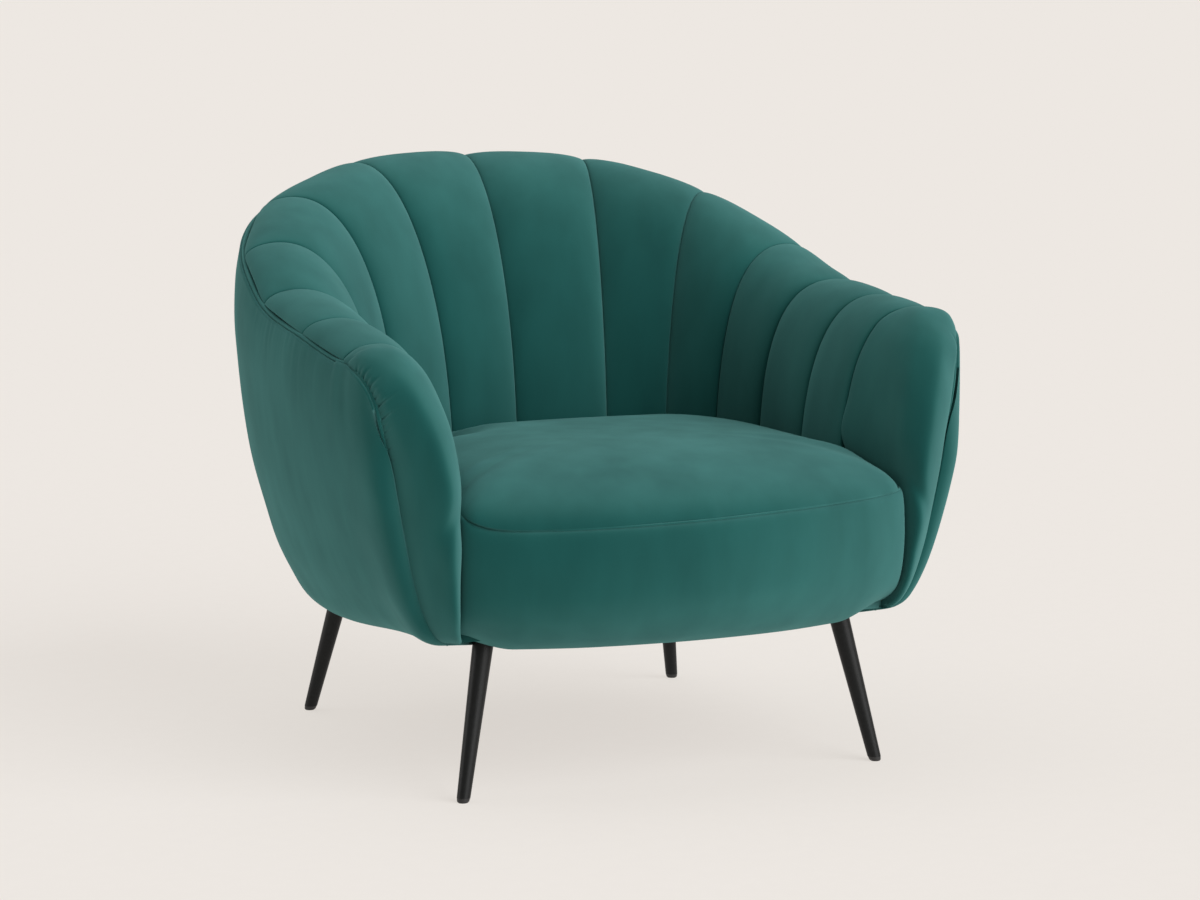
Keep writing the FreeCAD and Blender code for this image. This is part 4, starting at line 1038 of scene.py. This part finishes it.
finishes = {
    "leg_black": speckled("satin_black", (0.0035, 0.004, 0.0042), (0.006, 0.0068, 0.007), 320.0, 0.42, 0.05),
    "glide_nylon": speckled("black_nylon", grey(0.008), grey(0.014), 200.0, 0.55, 0.1),
    "frame_wood": speckled("pine", (0.42, 0.27, 0.14), (0.6, 0.42, 0.25), 14.0, 0.7, 0.2, stretch=(1, 1, 9)),
    "lining_cloth": speckled("backing_cloth", (0.5, 0.47, 0.4), (0.6, 0.57, 0.5), 500.0, 0.95, 0.3),
    "spring_steel": speckled("spring_wire", (0.12, 0.12, 0.125), (0.2, 0.2, 0.205), 60.0, 0.4, 0.05, 1.0),
    "clip_steel": speckled("clip_steel", grey(0.3), grey(0.42), 60.0, 0.35, 0.05, 1.0),
    "felt": speckled("grey_felt", (0.06, 0.06, 0.065), (0.16, 0.16, 0.17), 260.0, 1.0, 0.5),
    "foam": speckled("seat_foam", (0.62, 0.55, 0.36), (0.72, 0.66, 0.46), 420.0, 0.95, 0.5),
    "dust_cloth": speckled("dust_cloth", grey(0.008), grey(0.02), 700.0, 1.0, 0.4),
    "plate_steel": speckled("plate_paint", grey(0.012), grey(0.022), 150.0, 0.45, 0.1),
    "fastener_steel": speckled("zinc", (0.36, 0.36, 0.35), (0.5, 0.5, 0.48), 90.0, 0.3, 0.05, 1.0),
}
leg_shader = finishes["leg_black"].node_tree.nodes["Principled BSDF"]
leg_shader.inputs["Specular IOR Level"].default_value = LEG_GLOSS
print("finishes:", sorted(finishes))

# %% Dress the new pieces
# The piping and seat seam get the lighter cord velvet, a painted highlight.
for name, piece in pieces.items():
    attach(piece, "root")
    if name == "dust_cloth":
        slot, material = "dust_cloth", finishes["dust_cloth"]
    elif name.startswith("piping") or name == "seat_seam":
        slot, material = "velvet_cord", painted_highlight_cord_velvet
    else:
        slot, material = "velvet", velvet
    piece.data.materials.append(material)
print("new pieces:", len(pieces))

# %% Dress the CAD nodes
slots = {part["node"]: part["material_slot"] for part in frame["record"].get("subparts", [])}
for node, obj in frame["nodes"].items():
    for slot in obj.material_slots:
        slot.material = finishes.get(slots.get(node), velvet)
print("finishes on CAD nodes:", sorted(set(slots.values())))

# %% [markdown]
# ## Stage
# The floor is one very large pale plane. Most of its tone is its own, so it meets the backdrop without a
# horizon line. Only the rest is lit, which leaves a faint soft shadow under the chair.

# %% Floor
PAPER = (0.864, 0.812, 0.76)
# Share of the floor's tone that is lit, and how brightly the lights below fall on it.
FLOOR_LIT, FLOOR_LIGHT = 0.2, 1.24
bpy.ops.object.select_all(action="DESELECT")
bpy.ops.mesh.primitive_plane_add(size=900)
floor = bpy.context.object
floor.name = "floor"
floor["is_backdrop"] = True
floor_material, tree, shader = new_material("pale_floor")
grain = add_ramp(tree, add_noise(tree, object_coords(tree), 40.0, 3.0),
                 [(0.4, grey(FLOOR_LIT * 0.99)), (0.6, grey(FLOOR_LIT * 1.01))])
tree.links.new(grain, shader.inputs["Base Color"])
shader.inputs["Roughness"].default_value = 1.0
shader.inputs["Specular IOR Level"].default_value = 0.0
shader.inputs["Emission Color"].default_value = (*PAPER, 1)
shader.inputs["Emission Strength"].default_value = 1.0 - FLOOR_LIT * FLOOR_LIGHT
floor.data.materials.append(floor_material)
print("own tone of the floor:", round(1.0 - FLOOR_LIT * FLOOR_LIGHT, 3))

# %% [markdown]
# ## Light
# A broad key light from the right and front lights the band and the left half of the back, and leaves the
# inside of the right arm dark. A weak light from behind the left side shapes the cover, and one from
# above lifts the top rolls. Sun lights with a wide angle stand for very large softboxes, because they light
# the whole floor evenly.

# %% Light
WORLD_LIGHT = 0.42


def soft_light(name, source, strength, spread):
    """Even light from one direction, as from a very large softbox."""
    data = bpy.data.lights.new(name, "SUN")
    data.energy = strength
    data.angle = math.radians(spread)
    obj = bpy.data.objects.new(name, data)
    bpy.context.collection.objects.link(obj)
    obj.rotation_euler = (-Vector(source)).to_track_quat("-Z", "Y").to_euler()


soft_light("key_light", (2.4, -4.2, 2.2), 3.2, 60)
soft_light("side_light", (-4.0, 1.6, 1.0), 0.55, 30)
soft_light("top_light", (-0.2, 0.5, 1.5), 0.55, 60)
world = bpy.data.worlds.new("studio")
world.use_nodes = True
world.node_tree.nodes["Background"].inputs["Color"].default_value = (*PAPER, 1)
world.node_tree.nodes["Background"].inputs["Strength"].default_value = WORLD_LIGHT
bpy.context.scene.world = world

# %% [markdown]
# ## Camera
# The camera stands well back with a long lens, a little above the seat and to the left, as in the
# photograph. Its place was worked out from the symmetry of the chair and the flat floor.

# %% Camera
CAMERA_TURN, CAMERA_PITCH = math.radians(23.99), math.radians(7.64)
camera_data = bpy.data.cameras.new("camera")
camera_data.sensor_width = 36.0
camera_data.lens = 103.05
camera = bpy.data.objects.new("camera", camera_data)
bpy.context.collection.objects.link(camera)
camera.location = (-1.821, -4.160 + SHIFT_Y / 1000, 0.996)
level = math.cos(CAMERA_PITCH)
forward = Vector((math.sin(CAMERA_TURN) * level, math.cos(CAMERA_TURN) * level, -math.sin(CAMERA_PITCH)))
camera.rotation_euler = forward.to_track_quat("-Z", "Y").to_euler()
bpy.context.scene.camera = camera
bpy.context.scene.view_settings.view_transform = "Standard"
print("camera at", [round(v, 3) for v in camera.location], "with a", round(camera_data.lens), "mm lens")

# %% [markdown]
# The soft forms may stand a little proud of the CAD, as fabric does. Both boxes are written down so that
# they can be compared.

# %% Sizes and finish
for word, box in (("before", size_before), ("after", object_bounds())):
    print("box", word, [[round(v, 4) for v in corner] for corner in box])
